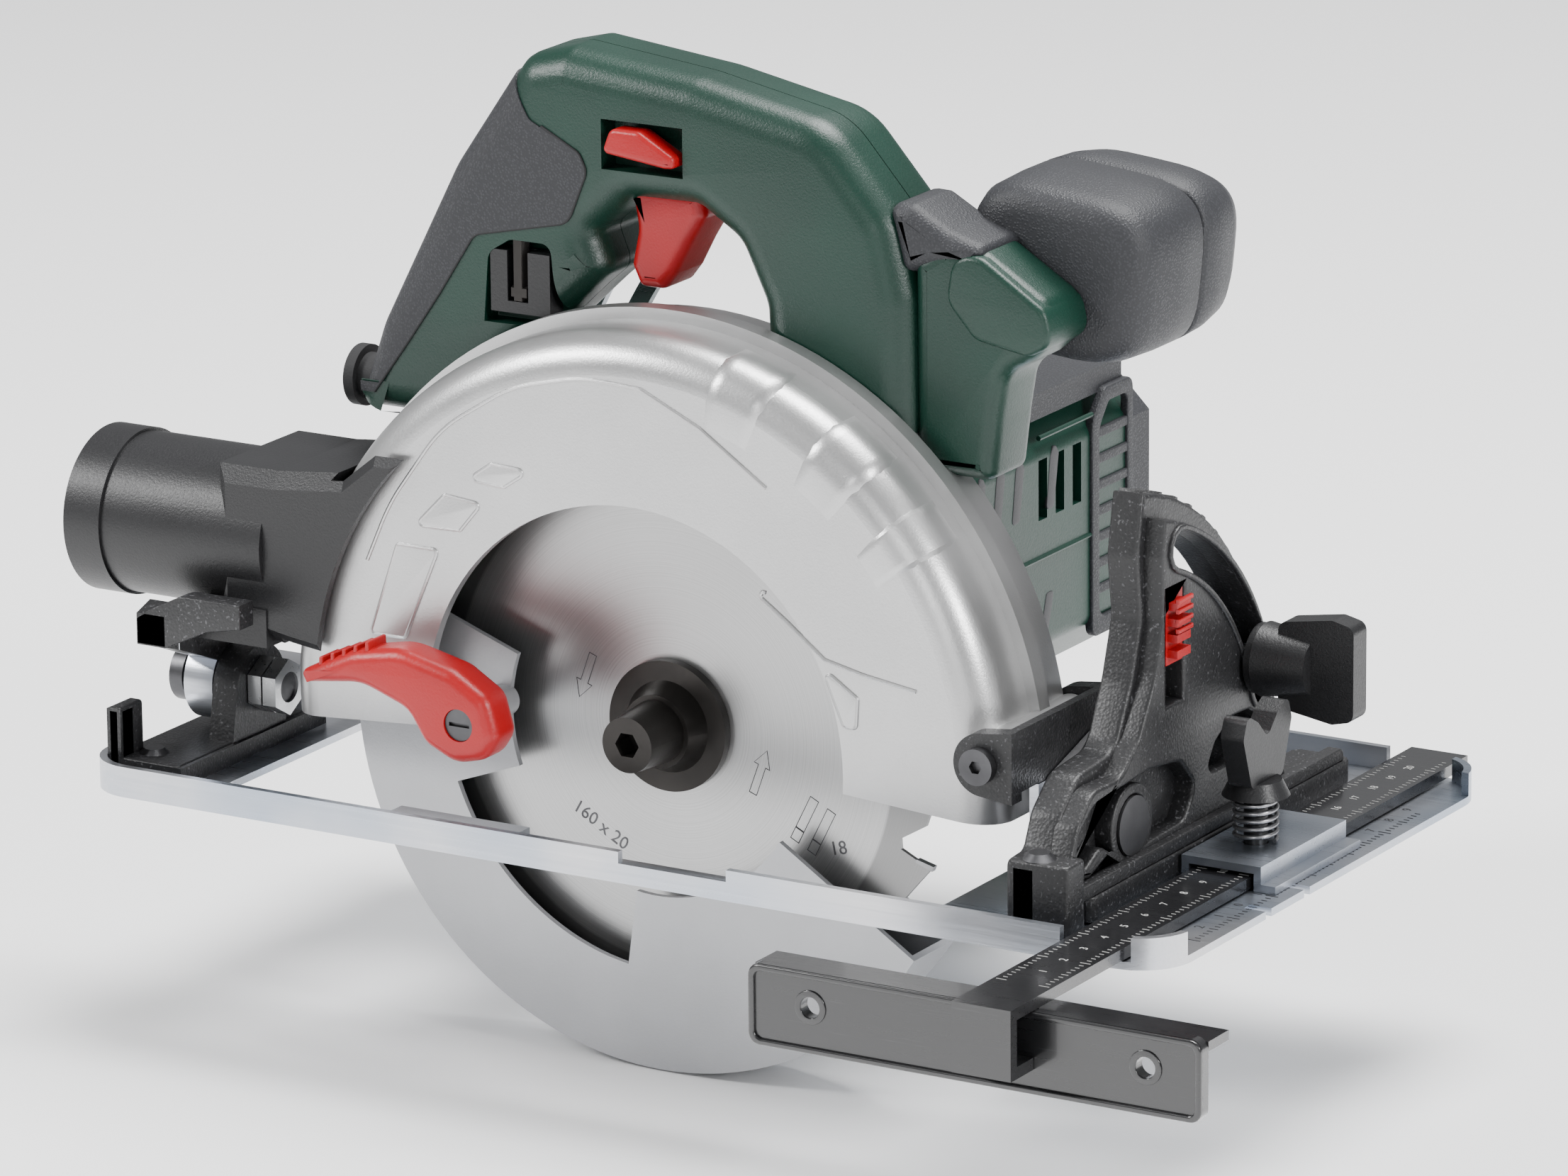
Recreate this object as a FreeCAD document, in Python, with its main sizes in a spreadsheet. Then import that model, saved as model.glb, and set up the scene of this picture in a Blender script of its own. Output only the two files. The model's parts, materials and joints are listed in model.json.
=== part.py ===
import FreeCAD
import Part
import math
import os
import re
import Sketcher

from FreeCAD import Placement, Rotation, Vector

# Hand-held circular saw. X runs forward, Y to the motor side, Z up.
# The sole of the base plate is Z = 0, the blade axle crosses X = 0 and the blade lies in Y = 0.

DRIVING_SIZES = (
    ("blade_radius", 80.0),
    ("blade_body_thickness", 1.2),
    ("tooth_width", 1.8),
    ("tooth_count", 18),
    ("axle_height", 25.0),
    ("plate_front", 169.0),
    ("plate_rear", 146.0),
    ("plate_right", 53.0),
    ("plate_left", 120.0),
    ("sheet_thickness", 2.0),
    ("lip_height", 8.0),
    ("opening_front", 98.0),
    ("opening_rear", 112.0),
    ("opening_right", 41.0),
    ("opening_left", 52.0),
    ("pivot_offset", 6.0),
    ("pivot_height", 20.0),
    ("slot_radius", 68.5),
    ("slot_rest_angle", 23.0),
    ("hinge_forward", 105.0),
    ("hinge_height", 37.0),
    ("hinge_pin_radius", 3.0),
    ("depth_arc_radius", 170.0),
    ("guard_radius", 104.0),
    ("guard_rim_radius", 107.0),
    ("guard_opening_radius", 61.0),
    ("guard_face", 20.0),
    ("guard_back", 17.0),
    ("guard_wall", 3.0),
    ("swing_guard_radius", 89.0),
    ("swing_guard_near", 9.2),
    ("swing_guard_far", 11.4),
    ("swing_guard_wall", 1.6),
    ("nose_radius", 17.0),
    ("spindle_radius", 6.0),
    ("gear_module", 0.9),
    ("gear_teeth", 48),
    ("pinion_teeth", 12),
    ("gear_start", 24.0),
    ("gear_width", 9.0),
    ("case_radius", 24.6),
    ("motor_x", 6.0),
    ("motor_half_width", 43.0),
    ("motor_half_height", 38.5),
    ("motor_start", 50.3),
    ("motor_end", 150.0),
    ("motor_cap_end", 165.0),
    ("motor_bore", 34.2),
    ("shaft_radius", 4.0),
    ("handle_near", 5.5),
    ("handle_middle", 20.5),
    ("handle_far", 37.0),
    ("knob_x", 92.0),
    ("knob_z", 145.0),
    ("knob_near", 28.0),
    ("knob_seam", 60.0),
    ("knob_far", 88.0),
    ("port_y", -5.0),
    ("port_z", 61.0),
    ("port_end", 167.0),
    ("port_bore", 17.5),
    ("port_wall", 3.5),
    ("bar_front", 158.0),
    ("bar_width", 16.0),
    ("bar_bottom", 2.6),
    ("bar_thickness", 3.0),
    ("fence_face", 97.0),
    ("fence_rear_end", 80.0),
    ("fence_front_end", 203.0),
)

doc = FreeCAD.newDocument("circular_saw")
sheet = doc.addObject("Spreadsheet::Sheet", "sizes")
for row, (alias, number) in enumerate(DRIVING_SIZES, start=1):
    sheet.set("A%d" % row, alias)
    sheet.set("B%d" % row, str(number))
    sheet.setAlias("B%d" % row, alias)
doc.recompute()

SIZE = {alias: float(sheet.get(alias)) for alias, number in DRIVING_SIZES}
NODES = []
NEARLY_HALF_TURN = 1.002
TURN_TO = {
    "x": Rotation(Vector(0, 1, 0), 90),
    "y": Rotation(Vector(1, 0, 0), -90),
    "z": Rotation(),
}


# ---------------------------------------------------------------- helpers

def formula(value):
    """Turn a number or a formula in sheet aliases into an expression."""
    if not isinstance(value, str):
        return repr(float(value))
    return re.sub("[a-z_]+", lambda word: "sizes." + word[0] if word[0] in SIZE else word[0], value)


def number(value):
    """Work out the number that a formula gives."""
    if not isinstance(value, str):
        return float(value)
    return float(sheet.evalExpression(formula(value)))


def bind(thing, **properties):
    for name, value in properties.items():
        thing.setExpression(name, formula(value))


def place(thing, at, turn=Rotation()):
    thing.Placement = Placement(Vector(*(number(value) for value in at)), turn)
    for axis, value in zip("xyz", at):
        thing.setExpression("Placement.Base." + axis, formula(value))


def box(name, low, high):
    """A block between two opposite corners."""
    block = doc.addObject("Part::Box", name)
    bind(block, Length="(%s) - (%s)" % (high[0], low[0]))
    bind(block, Width="(%s) - (%s)" % (high[1], low[1]))
    bind(block, Height="(%s) - (%s)" % (high[2], low[2]))
    place(block, low)
    return block


def rod(name, axis, start, radius, length, top_radius=None):
    """A cylinder, or a cone if its top radius differs, along X, Y or Z."""
    kind = "Part::Cylinder" if top_radius is None else "Part::Cone"
    piece = doc.addObject(kind, name)
    if top_radius is None:
        bind(piece, Radius=radius, Height=length)
    else:
        bind(piece, Radius1=radius, Radius2=top_radius, Height=length)
    place(piece, start, TURN_TO[axis])
    return piece


def sector(name, start, radius, length, first_angle, sweep):
    """A cylinder sector along Y that runs clockwise from first_angle, seen against Y."""
    piece = doc.addObject("Part::Cylinder", name)
    bind(piece, Radius=radius, Height=length, Angle=sweep)
    place(piece, start, Rotation(Vector(0, 1, 0), -first_angle).multiply(TURN_TO["y"]))
    return piece


def fuse(name, pieces):
    joined = doc.addObject("Part::MultiFuse", name)
    joined.Shapes = pieces
    joined.Refine = True
    return joined


def cut(name, base, tools):
    tool = tools[0] if len(tools) == 1 else fuse(name + "_tools", tools)
    result = doc.addObject("Part::Cut", name)
    result.Base = base
    result.Tool = tool
    result.Refine = True
    return result


def group(name, pieces):
    """Several separate solids kept as one sub-part."""
    bundle = doc.addObject("Part::Compound", name)
    bundle.Links = pieces
    return bundle


def keep(node):
    node.Label = node.Name
    NODES.append(node)
    return node


def free_shape(name, shape):
    piece = doc.addObject("Part::Feature", name)
    piece.Shape = shape
    return piece


def edge_to(sketch, corner, following):
    """Add the line or, where the corner has a third value, the arc of that radius."""
    start = Vector(number(corner[0]), number(corner[1]), 0)
    end = Vector(number(following[0]), number(following[1]), 0)
    if len(corner) == 2:
        return sketch.addGeometry(Part.LineSegment(start, end), False), 1, 2
    radius = number(corner[2])
    chord = end - start
    rise = math.sqrt(max(radius * radius - chord.Length ** 2 / 4, 0.0))
    side = Vector(-chord.y, chord.x, 0).normalize() * rise * math.copysign(1, radius)
    centre = (start + end) * 0.5 + side
    first = math.atan2(start.y - centre.y, start.x - centre.x)
    last = math.atan2(end.y - centre.y, end.x - centre.x)
    circle = Part.Circle(centre, Vector(0, 0, 1), abs(radius))
    if radius > 0:
        return sketch.addGeometry(Part.ArcOfCircle(circle, first, last), False), 1, 2
    return sketch.addGeometry(Part.ArcOfCircle(circle, last, first), False), 2, 1


def draw_outline(sketch, corners):
    """Close an outline, each corner held by two dimensions bound to the sheet.

    A corner is (across, up), or (across, up, radius) where an arc leaves it; a positive
    radius bulges to the right of the way the outline runs.
    """
    edges = []
    for place_in_list, corner in enumerate(corners):
        following = corners[(place_in_list + 1) % len(corners)]
        edges.append(edge_to(sketch, corner, following))
    for place_in_list, (edge, start, end) in enumerate(edges):
        following = edges[(place_in_list + 1) % len(edges)]
        sketch.addConstraint(Sketcher.Constraint("Coincident", edge, end, following[0], following[1]))
        corner = corners[place_in_list]
        for kind, value in (("DistanceX", corner[0]), ("DistanceY", corner[1])):
            held = sketch.addConstraint(Sketcher.Constraint(kind, -1, 1, edge, start, number(value)))
            sketch.setExpression("Constraints[%d]" % held, formula(value))
        if len(corner) == 3:
            held = sketch.addConstraint(Sketcher.Constraint("Radius", edge, abs(number(corner[2]))))
            sketch.setExpression("Constraints[%d]" % held, "abs(%s)" % formula(corner[2]))


def sketch_on(body, plane, offset=0.0):
    """A sketch on one of the body's own planes, moved along that plane's world axis."""
    sketch = body.newObject("Sketcher::SketchObject", body.Name + "_outline")
    support = [item for item in body.Origin.OriginFeatures if item.Role == plane + "_Plane"][0]
    sketch.AttachmentSupport = [(support, "")]
    sketch.MapMode = "FlatFace"
    direction = -1 if plane == "XZ" else 1
    sketch.AttachmentOffset = Placement(Vector(0, 0, direction * number(offset)), Rotation())
    sketch.setExpression("AttachmentOffset.Base.z", "%d * (%s)" % (direction, formula(offset)))
    return sketch


def prism(name, plane, corners, start, end, taper=0.0):
    """A PartDesign body padded from one plane position to another."""
    body = doc.addObject("PartDesign::Body", name)
    sketch = sketch_on(body, plane, start)
    draw_outline(sketch, corners)
    pad = body.newObject("PartDesign::Pad", name + "_pad")
    pad.Profile = sketch
    bind(pad, Length="(%s) - (%s)" % (end, start))
    pad.Reversed = plane == "XZ"
    if taper:
        pad.TaperAngle = taper
    doc.recompute()
    return body


def turned(name, corners, sweep=360.0):
    """A PartDesign body revolved about the world Y axis from an outline in (radius, Y)."""
    body = doc.addObject("PartDesign::Body", name)
    sketch = sketch_on(body, "XY")
    draw_outline(sketch, corners)
    turn = body.newObject("PartDesign::Revolution", name + "_turn")
    turn.Profile = sketch
    turn.ReferenceAxis = (sketch, ["V_Axis"])
    bind(turn, Angle=sweep)
    doc.recompute()
    return body


def dress(body, kind, size, chosen):
    """Round or bevel the edges of the body's tip that the test chooses."""
    tip = body.Tip
    names = ["Edge%d" % (place_in_list + 1) for place_in_list, edge in enumerate(tip.Shape.Edges)
             if chosen(edge)]
    feature = body.newObject("PartDesign::" + kind, body.Name + "_" + kind.lower())
    feature.Base = (tip, names)
    if kind == "Fillet":
        bind(feature, Radius=size)
    else:
        bind(feature, Size=size)
    doc.recompute()
    return body


def runs_along(axis):
    """Choose straight edges along one world axis."""
    def chosen(edge):
        if len(edge.Vertexes) != 2 or edge.Curve.TypeId != "Part::GeomLine":
            return False
        way = edge.Vertexes[1].Point - edge.Vertexes[0].Point
        return abs(abs(getattr(way, axis)) - way.Length) < 1e-6
    return chosen


def lies_at(axis, value):
    """Choose the edges that lie in the plane where axis equals value."""
    def chosen(edge):
        spread = edge.BoundBox
        low = getattr(spread, axis.upper() + "Min")
        high = getattr(spread, axis.upper() + "Max")
        return abs(low - value) < 1e-4 and abs(high - value) < 1e-4
    return chosen


def rounded_rectangle(left, low, right, top, radius):
    """Corners of a rectangle with arcs, running counter-clockwise."""
    near = "(%s) + (%s)"
    back = "(%s) - (%s)"
    return [
        (near % (left, radius), low), (back % (right, radius), low, radius),
        (right, near % (low, radius)), (right, back % (top, radius), radius),
        (back % (right, radius), top), (near % (left, radius), top, radius),
        (left, back % (top, radius)), (left, near % (low, radius), radius),
    ]


def on_circle(centre, radius, angle):
    turn = math.radians(angle)
    return centre[0] + radius * math.cos(turn), centre[1] + radius * math.sin(turn)


def arc_slot(name, centre, radius, half_width, first, last, start, end):
    """A banana-shaped slot tool in the YZ plane, cut along X."""
    inner = radius - half_width
    outer = radius + half_width
    corners = [
        on_circle(centre, inner, last) + (-inner,),
        on_circle(centre, inner, first) + (half_width * NEARLY_HALF_TURN,),
        on_circle(centre, outer, first) + (outer,),
        on_circle(centre, outer, last) + (half_width * NEARLY_HALF_TURN,),
    ]
    return prism(name, "YZ", corners, start, end)


def hexagon(name, axis, start, across, length):
    """A six-sided prism along X, Y or Z."""
    piece = doc.addObject("Part::Prism", name)
    piece.Polygon = 6
    bind(piece, Circumradius="(%s) / sqrt(3)" % across, Height=length)
    place(piece, start, TURN_TO[axis])
    return piece


# ---------------------------------------------------------------- driving places

PIVOT = (-SIZE["pivot_offset"], SIZE["pivot_height"])
HINGE = (SIZE["hinge_forward"], SIZE["hinge_height"])
AXLE_Z = SIZE["axle_height"]
GEAR_DISTANCE = SIZE["gear_module"] * (SIZE["gear_teeth"] + SIZE["pinion_teeth"]) / 2
MOTOR_Z = AXLE_Z + math.sqrt(GEAR_DISTANCE ** 2 - SIZE["motor_x"] ** 2)
CLAMP_BOLT = on_circle(PIVOT, SIZE["slot_radius"], SIZE["slot_rest_angle"])
QUADRANT_BACK = 121.0
QUADRANT_FRONT = 135.0
CLAMP_SCREW = (150.0, 29.0)


# ---------------------------------------------------------------- base plate and its brackets

def make_base_plate():
    outer = prism("plate_blank", "XY", rounded_rectangle(
        "0 - plate_rear", "0 - plate_right", "plate_front", "plate_left", 14), 0, "lip_height")
    inner = prism("plate_inside", "XY", rounded_rectangle(
        "2 - plate_rear", "2 - plate_right", "plate_front - 2", "plate_left - 2", 12),
        "sheet_thickness", 12)
    opening = prism("plate_opening", "XY", rounded_rectangle(
        "0 - opening_rear", "0 - opening_right", "opening_front", "opening_left", 8), -1, 12)
    tools = [
        inner,
        opening,
        box("plate_front_gap", (164, -41, 2), (170, 108, 12)),
        box("plate_bar_gap", ("bar_front - bar_width - 1.5", -60, 2), ("bar_front + 1.5", 125, 12)),
        box("plate_lip_step", (16, -60, 5), (47, -50, 12)),
        box("plate_rear_gap", (-150, -30, 5), (-143, 90, 12)),
    ]
    for cut_line in (0, 20):
        tools.append(box("plate_notch_%d" % cut_line, (163, cut_line - 1.5, -1), (170, cut_line + 1.5, 4)))
    for hole, across in enumerate((-40.6, 66)):
        tools.append(rod("plate_front_hole_%d" % hole, "z", (128, across, -1), 2.5, 5))
    for hole, across in enumerate((-36, 14)):
        tools.append(rod("plate_rear_hole_%d" % hole, "z", (-134, across, -1), 2.5, 5))
    keep(cut("base_plate", outer, tools))


def make_front_bevel_bracket():
    arc_start = on_circle(PIVOT, 81, 4)
    arc_end = on_circle(PIVOT, 81, 80)
    wall = prism("quadrant_wall", "YZ", [
        (-45, 2), (75, 2), arc_start + (81,), arc_end,
        (5, 84), (7, 68), (2, 53), (-6, 38), (-24, 36), (-32, 31), (-35.5, 20), (-45, 20)],
        QUADRANT_BACK, QUADRANT_FRONT)
    slot = arc_slot("quadrant_slot", PIVOT, SIZE["slot_radius"], 4.5, 18, 72, 110, 140)
    window = prism("quadrant_window", "YZ", [
        (31, 23), (62, 23), (63, 29), (54, 34), (44, 34.5), (36, 30)], 120, 140)
    slider_seat = box("quadrant_slider_seat", (131.5, 10.5, 46), (140, 19.5, 75))
    pivot_hole = rod("quadrant_pivot_hole", "x", (110, PIVOT[0], PIVOT[1]), 4.05, 40)
    head_seat = rod("quadrant_head_seat", "x", (131, PIVOT[0], PIVOT[1]), 9, 10)
    foot = box("quadrant_foot", (121, -45, 2), (138, -35.5, 20))
    rail = box("quadrant_rail", (QUADRANT_BACK, 60, 2), (138, 104, 9))
    holes = [rod("quadrant_rivet_%d" % side, "z", (128, across, 0), 2.5, 24)
             for side, across in enumerate((-40.6, 66))]
    body = fuse("quadrant_body", [wall, foot, rail])
    relief = box("quadrant_rivet_relief", (122, 60, 9), (134, 72, 26))
    keep(cut("front_bevel_bracket", body,
             [slot, window, slider_seat, pivot_hole, head_seat, relief] + holes))


def make_rear_bevel_bracket():
    block = box("rear_foot_block", (-142.6, -44.5, 2), (-138.4, -39, 20))
    base = box("rear_foot_base", (-142.6, -44.5, 2), (-120, 22, 7))
    ear = prism("rear_foot_ear", "YZ", [
        (-20, 4), (5, 4), on_circle(PIVOT, 11, 0) + (11 * NEARLY_HALF_TURN,),
        on_circle(PIVOT, 11, 180)], -128.5, -121)
    body = fuse("rear_foot_body", [block, base, ear])
    holes = [rod("rear_rivet_%d" % side, "z", (-134, across, 0), 2.5, 20)
             for side, across in enumerate((-36, 14))]
    pivot_hole = rod("rear_pivot_hole", "x", (-140, PIVOT[0], PIVOT[1]), 4.05, 30)
    keep(cut("rear_bevel_bracket", body, holes + [pivot_hole]))


def make_bracket_rivets():
    rivets = []
    for x, y, top in ((128, -40.6, 20), (128, 66, 9), (-134, -36, 7), (-134, 14, 7)):
        tag = "%d_%d" % (abs(x), abs(y))
        shank = rod("rivet_shank_" + tag, "z", (x, y, 0.3), 2.45, top)
        head = rod("rivet_head_" + tag, "z", (x, y, top), 4.2, 1.6, 2.6)
        rivets.append(fuse("rivet_" + tag, [shank, head]))
    keep(group("bracket_rivets", rivets))


def make_pivot_bolts():
    front_shank = rod("front_pivot_shank", "x", (111.5, PIVOT[0], PIVOT[1]), 4, 21)
    front_head = rod("front_pivot_head", "x", (131.1, PIVOT[0], PIVOT[1]), 7.5, 4)
    front_nut = rod("front_pivot_nut", "x", (111, PIVOT[0], PIVOT[1]), 6.5, 2.8)
    rear_shank = rod("rear_pivot_shank", "x", (-143, PIVOT[0], PIVOT[1]), 4, 30)
    rear_head = rod("rear_pivot_head", "x", (-144.6, PIVOT[0], PIVOT[1]), 7.5, 4)
    keep(group("pivot_bolts", [
        fuse("front_pivot_bolt", [front_shank, front_head, front_nut]),
        fuse("rear_pivot_bolt", [rear_shank, rear_head])]))


def make_lock_nuts():
    nuts = []
    for place_in_list, start in enumerate((-120.7, -116.2)):
        nut = hexagon("nut_%d" % place_in_list, "x", (start, PIVOT[0], PIVOT[1]), 13, 4)
        bore = rod("nut_bore_%d" % place_in_list, "x", (start - 1, PIVOT[0], PIVOT[1]), 4.01, 6)
        nuts.append(cut("nut_cut_%d" % place_in_list, nut, [bore]))
    keep(group("pivot_lock_nuts", nuts))


def make_lip_insert():
    keep(box("lip_insert", (-53, "2.2 - plate_right", 2.1), (-15, "8.4 - plate_right", 7.4)))


def make_guide_clamp_saddle():
    strap = prism("saddle_strap", "XZ", [
        (139, 2.1), (141, 2.1), (141, 6.6), (159, 6.6), (159, 2.1), (165, 2.1), (165, 4.1),
        (161, 4.1), (161, 8.6), (139, 8.6)], 11, 56)
    bore = rod("saddle_bore", "z", (CLAMP_SCREW[0], CLAMP_SCREW[1], 0), 3.2, 20)
    keep(cut("guide_clamp_saddle", strap, [bore]))


def make_guide_clamp():
    x, y = CLAMP_SCREW
    coil = doc.addObject("Part::Helix", "clamp_spring_path")
    bind(coil, Pitch=2.0, Height=10.0, Radius=5.2)
    place(coil, (x, y, 9.6))
    doc.recompute()
    wire = Part.Wire(coil.Shape.Edges)
    circle = Part.Wire(Part.Circle(Vector(x + 5.2, y, 9.6), Vector(0, 1, 0), 0.6).toShape())
    keep(free_shape("guide_clamp_spring", wire.makePipeShell([circle], True, True)))
    shank = rod("clamp_shank", "z", (x, y, 6.0), 3, 20)
    collar = rod("clamp_collar", "z", (x, y, 21), 8.5, 4, 6.5)
    wing = prism("clamp_wing", "YZ", [
        (y - 8, 24.5), (y + 8, 24.5), (y + 12.6, 38), (y + 10.5, 44), (y + 5, 41),
        (y, 36), (y - 5, 41), (y - 10.5, 44), (y - 12.6, 38)], x - 3.2, x + 3.2)
    dress(wing, "Fillet", 2.0, runs_along("x"))
    keep(fuse("guide_clamp_screw", [shank, collar, wing]))


def make_stop_slider():
    body = box("slider_body", (131.7, 10.8, 56), (134.6, 19.2, 74.4))
    ribs = [box("slider_rib_%d" % step, (134.4, 11.6, 58 + 4 * step), (137.4, 18.4, 60 + 4 * step))
            for step in range(4)]
    keep(fuse("bevel_stop_slider", [body] + ribs))


def make_parallel_guide():
    low = "bar_bottom"
    top = "bar_bottom + bar_thickness"
    rear = "bar_front - bar_width"
    bar = box("guide_straight", (rear, "0 - fence_face - 8", low), ("bar_front", 129, top))
    bend = box("guide_bend", (rear, "0 - fence_face - 11", -12), ("bar_front", "0 - fence_face - 8", top))
    tongue = box("guide_tongue", (rear, "0 - fence_face - 8", -12), ("bar_front", "0 - fence_face - 0.2", -9))
    keep(fuse("guide_bar", [bar, bend, tongue]))
    plate = prism("fence_plate", "XZ", rounded_rectangle(
        "fence_rear_end", -18, "fence_front_end", 2.4, 3), "0 - fence_face", "3 - fence_face")
    shelf = box("fence_shelf", ("fence_rear_end", "3 - fence_face", -1),
                ("fence_front_end", "13 - fence_face", 1.4))
    holes = [rod("fence_hole_%d" % side, "y", (x, "0 - fence_face - 2", -6.5), 2.6, 8)
             for side, x in enumerate((97, 188))]
    body = fuse("fence_body", [plate, shelf])
    keep(cut("guide_fence", body, holes))


# ---------------------------------------------------------------- tilting frame

def make_tilt_frame():
    front = prism("tilt_front_plate", "YZ", [
        on_circle(PIVOT, 12, 200), on_circle(PIVOT, 12, 270) + (12,), on_circle(PIVOT, 12, 300),
        (56, 26), (74, 26), (74, 40), (CLAMP_BOLT[0] + 4, 57), (CLAMP_BOLT[0] - 8, 57),
        (20, 40), on_circle(PIVOT, 12, 100) + (12,)], 114, 120.4)
    web = box("tilt_web", (111.4, -16, 20), (114, 17.4, 30))
    rail = box("tilt_rail", (-118, 56, 5), (118, 64, 12))
    front_drop = box("tilt_front_drop", (114, 56, 5), (120.4, 64, 27))
    rear_cross = box("tilt_rear_cross", (-118, 6, 11), (-110, 64, 20))
    rear_link = box("tilt_rear_link", (-137.6, 6, 10), (-110, 16, 22))
    rear_boss = rod("tilt_rear_boss", "x", (-137.6, PIVOT[0], PIVOT[1]), 11, 8.8)
    rear_web = box("tilt_rear_web", (-137.6, -6, 9.5), (-128.8, 12, 22))
    arch = prism("tilt_arch", "YZ", [
        (-12, 26), (-31, 34), (-31, 36), (-37, 36), (-37, 44), (-31, 46), (-20, 38), (-6, 30)],
        -137.6, -128.8)
    arch_arm = prism("tilt_arch_arm", "XZ", [
        (-137.6, 36), (-128.8, 36), (-116, 42), (-106, 44), (-106, 50), (-124, 50), (-134, 45)], -37, -31)
    lug = box("tilt_depth_lug", (-76, 48.3, 5), (-52, 57, 12))
    body = fuse("tilt_body", [front, web, rail, front_drop, rear_cross, rear_link, rear_boss,
                              rear_web, arch, arch_arm, lug])
    keep(cut("tilt_frame", body, [
        rod("tilt_front_bore", "x", (100, PIVOT[0], PIVOT[1]), 4.05, 30),
        rod("tilt_nut_room", "x", (105, PIVOT[0], PIVOT[1]), 7.2, 8.9),
        rod("tilt_rear_bore", "x", (-145, PIVOT[0], PIVOT[1]), 4.05, 30),
        rod("tilt_clamp_bore", "x", (100, CLAMP_BOLT[0], CLAMP_BOLT[1]), 3.01, 30)]))


def make_hinge_bracket():
    cheeks = []
    for side, start, end in (("near", -29, -24), ("far", 17.8, 22.8)):
        cheeks.append(prism("cheek_" + side, "XZ", [
            (HINGE[0], HINGE[1] - 8), (113.8, 28), (113.8, 46),
            (HINGE[0], HINGE[1] + 8, 8 * NEARLY_HALF_TURN)], start, end))
    wall = box("hinge_wall", (111.4, -29, 30.2), (113.8, 22.8, 46))
    body = fuse("hinge_body", cheeks + [wall])
    bore = rod("hinge_bore", "y", (HINGE[0], -40, HINGE[1]), "hinge_pin_radius", 80)
    keep(cut("hinge_bracket", body, [bore]))
    pin = rod("hinge_pin_shank", "y", (HINGE[0], -30.5, HINGE[1]), "hinge_pin_radius", 55)
    head = rod("hinge_pin_head", "y", (HINGE[0], -31.5, HINGE[1]), 4.6, 2.4)
    socket = hexagon("hinge_pin_socket", "y", (HINGE[0], -31.6, HINGE[1]), 3, 1.6)
    keep(cut("hinge_pin", fuse("hinge_pin_body", [pin, head]), [socket]))


def make_depth_quadrant():
    """Curved strip about the hinge pin, with a slot for the depth clamp bolt."""
    radius = SIZE["depth_arc_radius"]
    first, last = 170, 219

    def strip(name, inner, outer, low_angle, high_angle, start, end):
        corners = []
        for ring, angle in ((outer, low_angle), (outer, high_angle), (inner, high_angle), (inner, low_angle)):
            across, up = on_circle((0, 0), ring, angle)
            corners.append((HINGE[0] + across, HINGE[1] - up))
        corners[0] += (-outer,)
        corners[2] += (inner,)
        return prism(name, "XZ", corners, start, end)

    blank = strip("depth_blank", radius - 8, radius + 8, first, last, 45.8, 48.3)
    slot = strip("depth_slot", radius - 3.2, radius + 3.2, 178.5, 216, 40, 52)
    keep(cut("depth_quadrant", blank, [slot]))


def make_bevel_clamp():
    y, z = CLAMP_BOLT
    shank = rod("bevel_bolt_shank", "x", (112, y, z), 3, 34)
    head = hexagon("bevel_bolt_head", "x", (110.4, y, z), 10, 3.5)
    keep(fuse("bevel_clamp_bolt", [shank, head]))
    washer = rod("bevel_knob_washer", "x", (136, y, z), 9, 2.2)
    hub = rod("bevel_knob_hub", "x", (138, y, z), 9.5, 14, 7.5)
    wing = prism("bevel_knob_wing", "XZ", [
        (143, z - 11), (158, z - 13.4), (164, z - 12), (164, z + 12), (158, z + 13.4), (143, z + 11)],
        y - 3.5, y + 3.5)
    dress(wing, "Fillet", 2.5, runs_along("y"))
    body = fuse("bevel_knob_body", [washer, hub, wing])
    bore = rod("bevel_knob_bore", "x", (130, y, z), 3.05, 17)
    keep(cut("bevel_clamp_knob", body, [bore]))


# ---------------------------------------------------------------- guards

def make_upper_guard():
    shell = turned("guard_shell", [
        ("guard_opening_radius", "0 - guard_face"),
        ("guard_radius - 10", "0 - guard_face", 10),
        ("guard_radius", "10 - guard_face"),
        ("guard_radius", 0), ("guard_rim_radius", 0), ("guard_rim_radius", 5), ("guard_radius", 5),
        ("guard_radius", "guard_back"), (30, "guard_back"), (30, "guard_back - guard_wall"),
        ("guard_radius - 5", "guard_back - guard_wall"),
        ("guard_radius - 5", "10 - guard_face", -7),
        ("guard_radius - 12", "guard_wall - guard_face"),
        ("guard_opening_radius", "guard_wall - guard_face")], 188)
    place(shell, (0, 0, "axle_height"), Rotation(Vector(0, 1, 0), -184))
    disc = rod("guard_disc", "y", (0, "guard_back - guard_wall", "axle_height"), 31, "guard_wall")
    lug = rod("guard_lug", "y", (HINGE[0], -23.6, HINGE[1]), 6.2, 41)
    body = fuse("guard_body", [shell, disc, lug])
    window = box("guard_outlet", (-112, -13, 48), (-80, 11, 76))
    keep(cut("upper_guard", body, [
        window,
        rod("guard_hinge_bore", "y", (HINGE[0], -40, HINGE[1]), "hinge_pin_radius + 0.05", 80),
        rod("guard_nose_bore", "y", (0, 0, "axle_height"), "nose_radius + 0.02", 40),
        rod("guard_screw_a", "y", (-20, 10, 65), 2.1, 10),
        rod("guard_screw_b", "y", (32, 10, 55), 2.1, 10)]))


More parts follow.
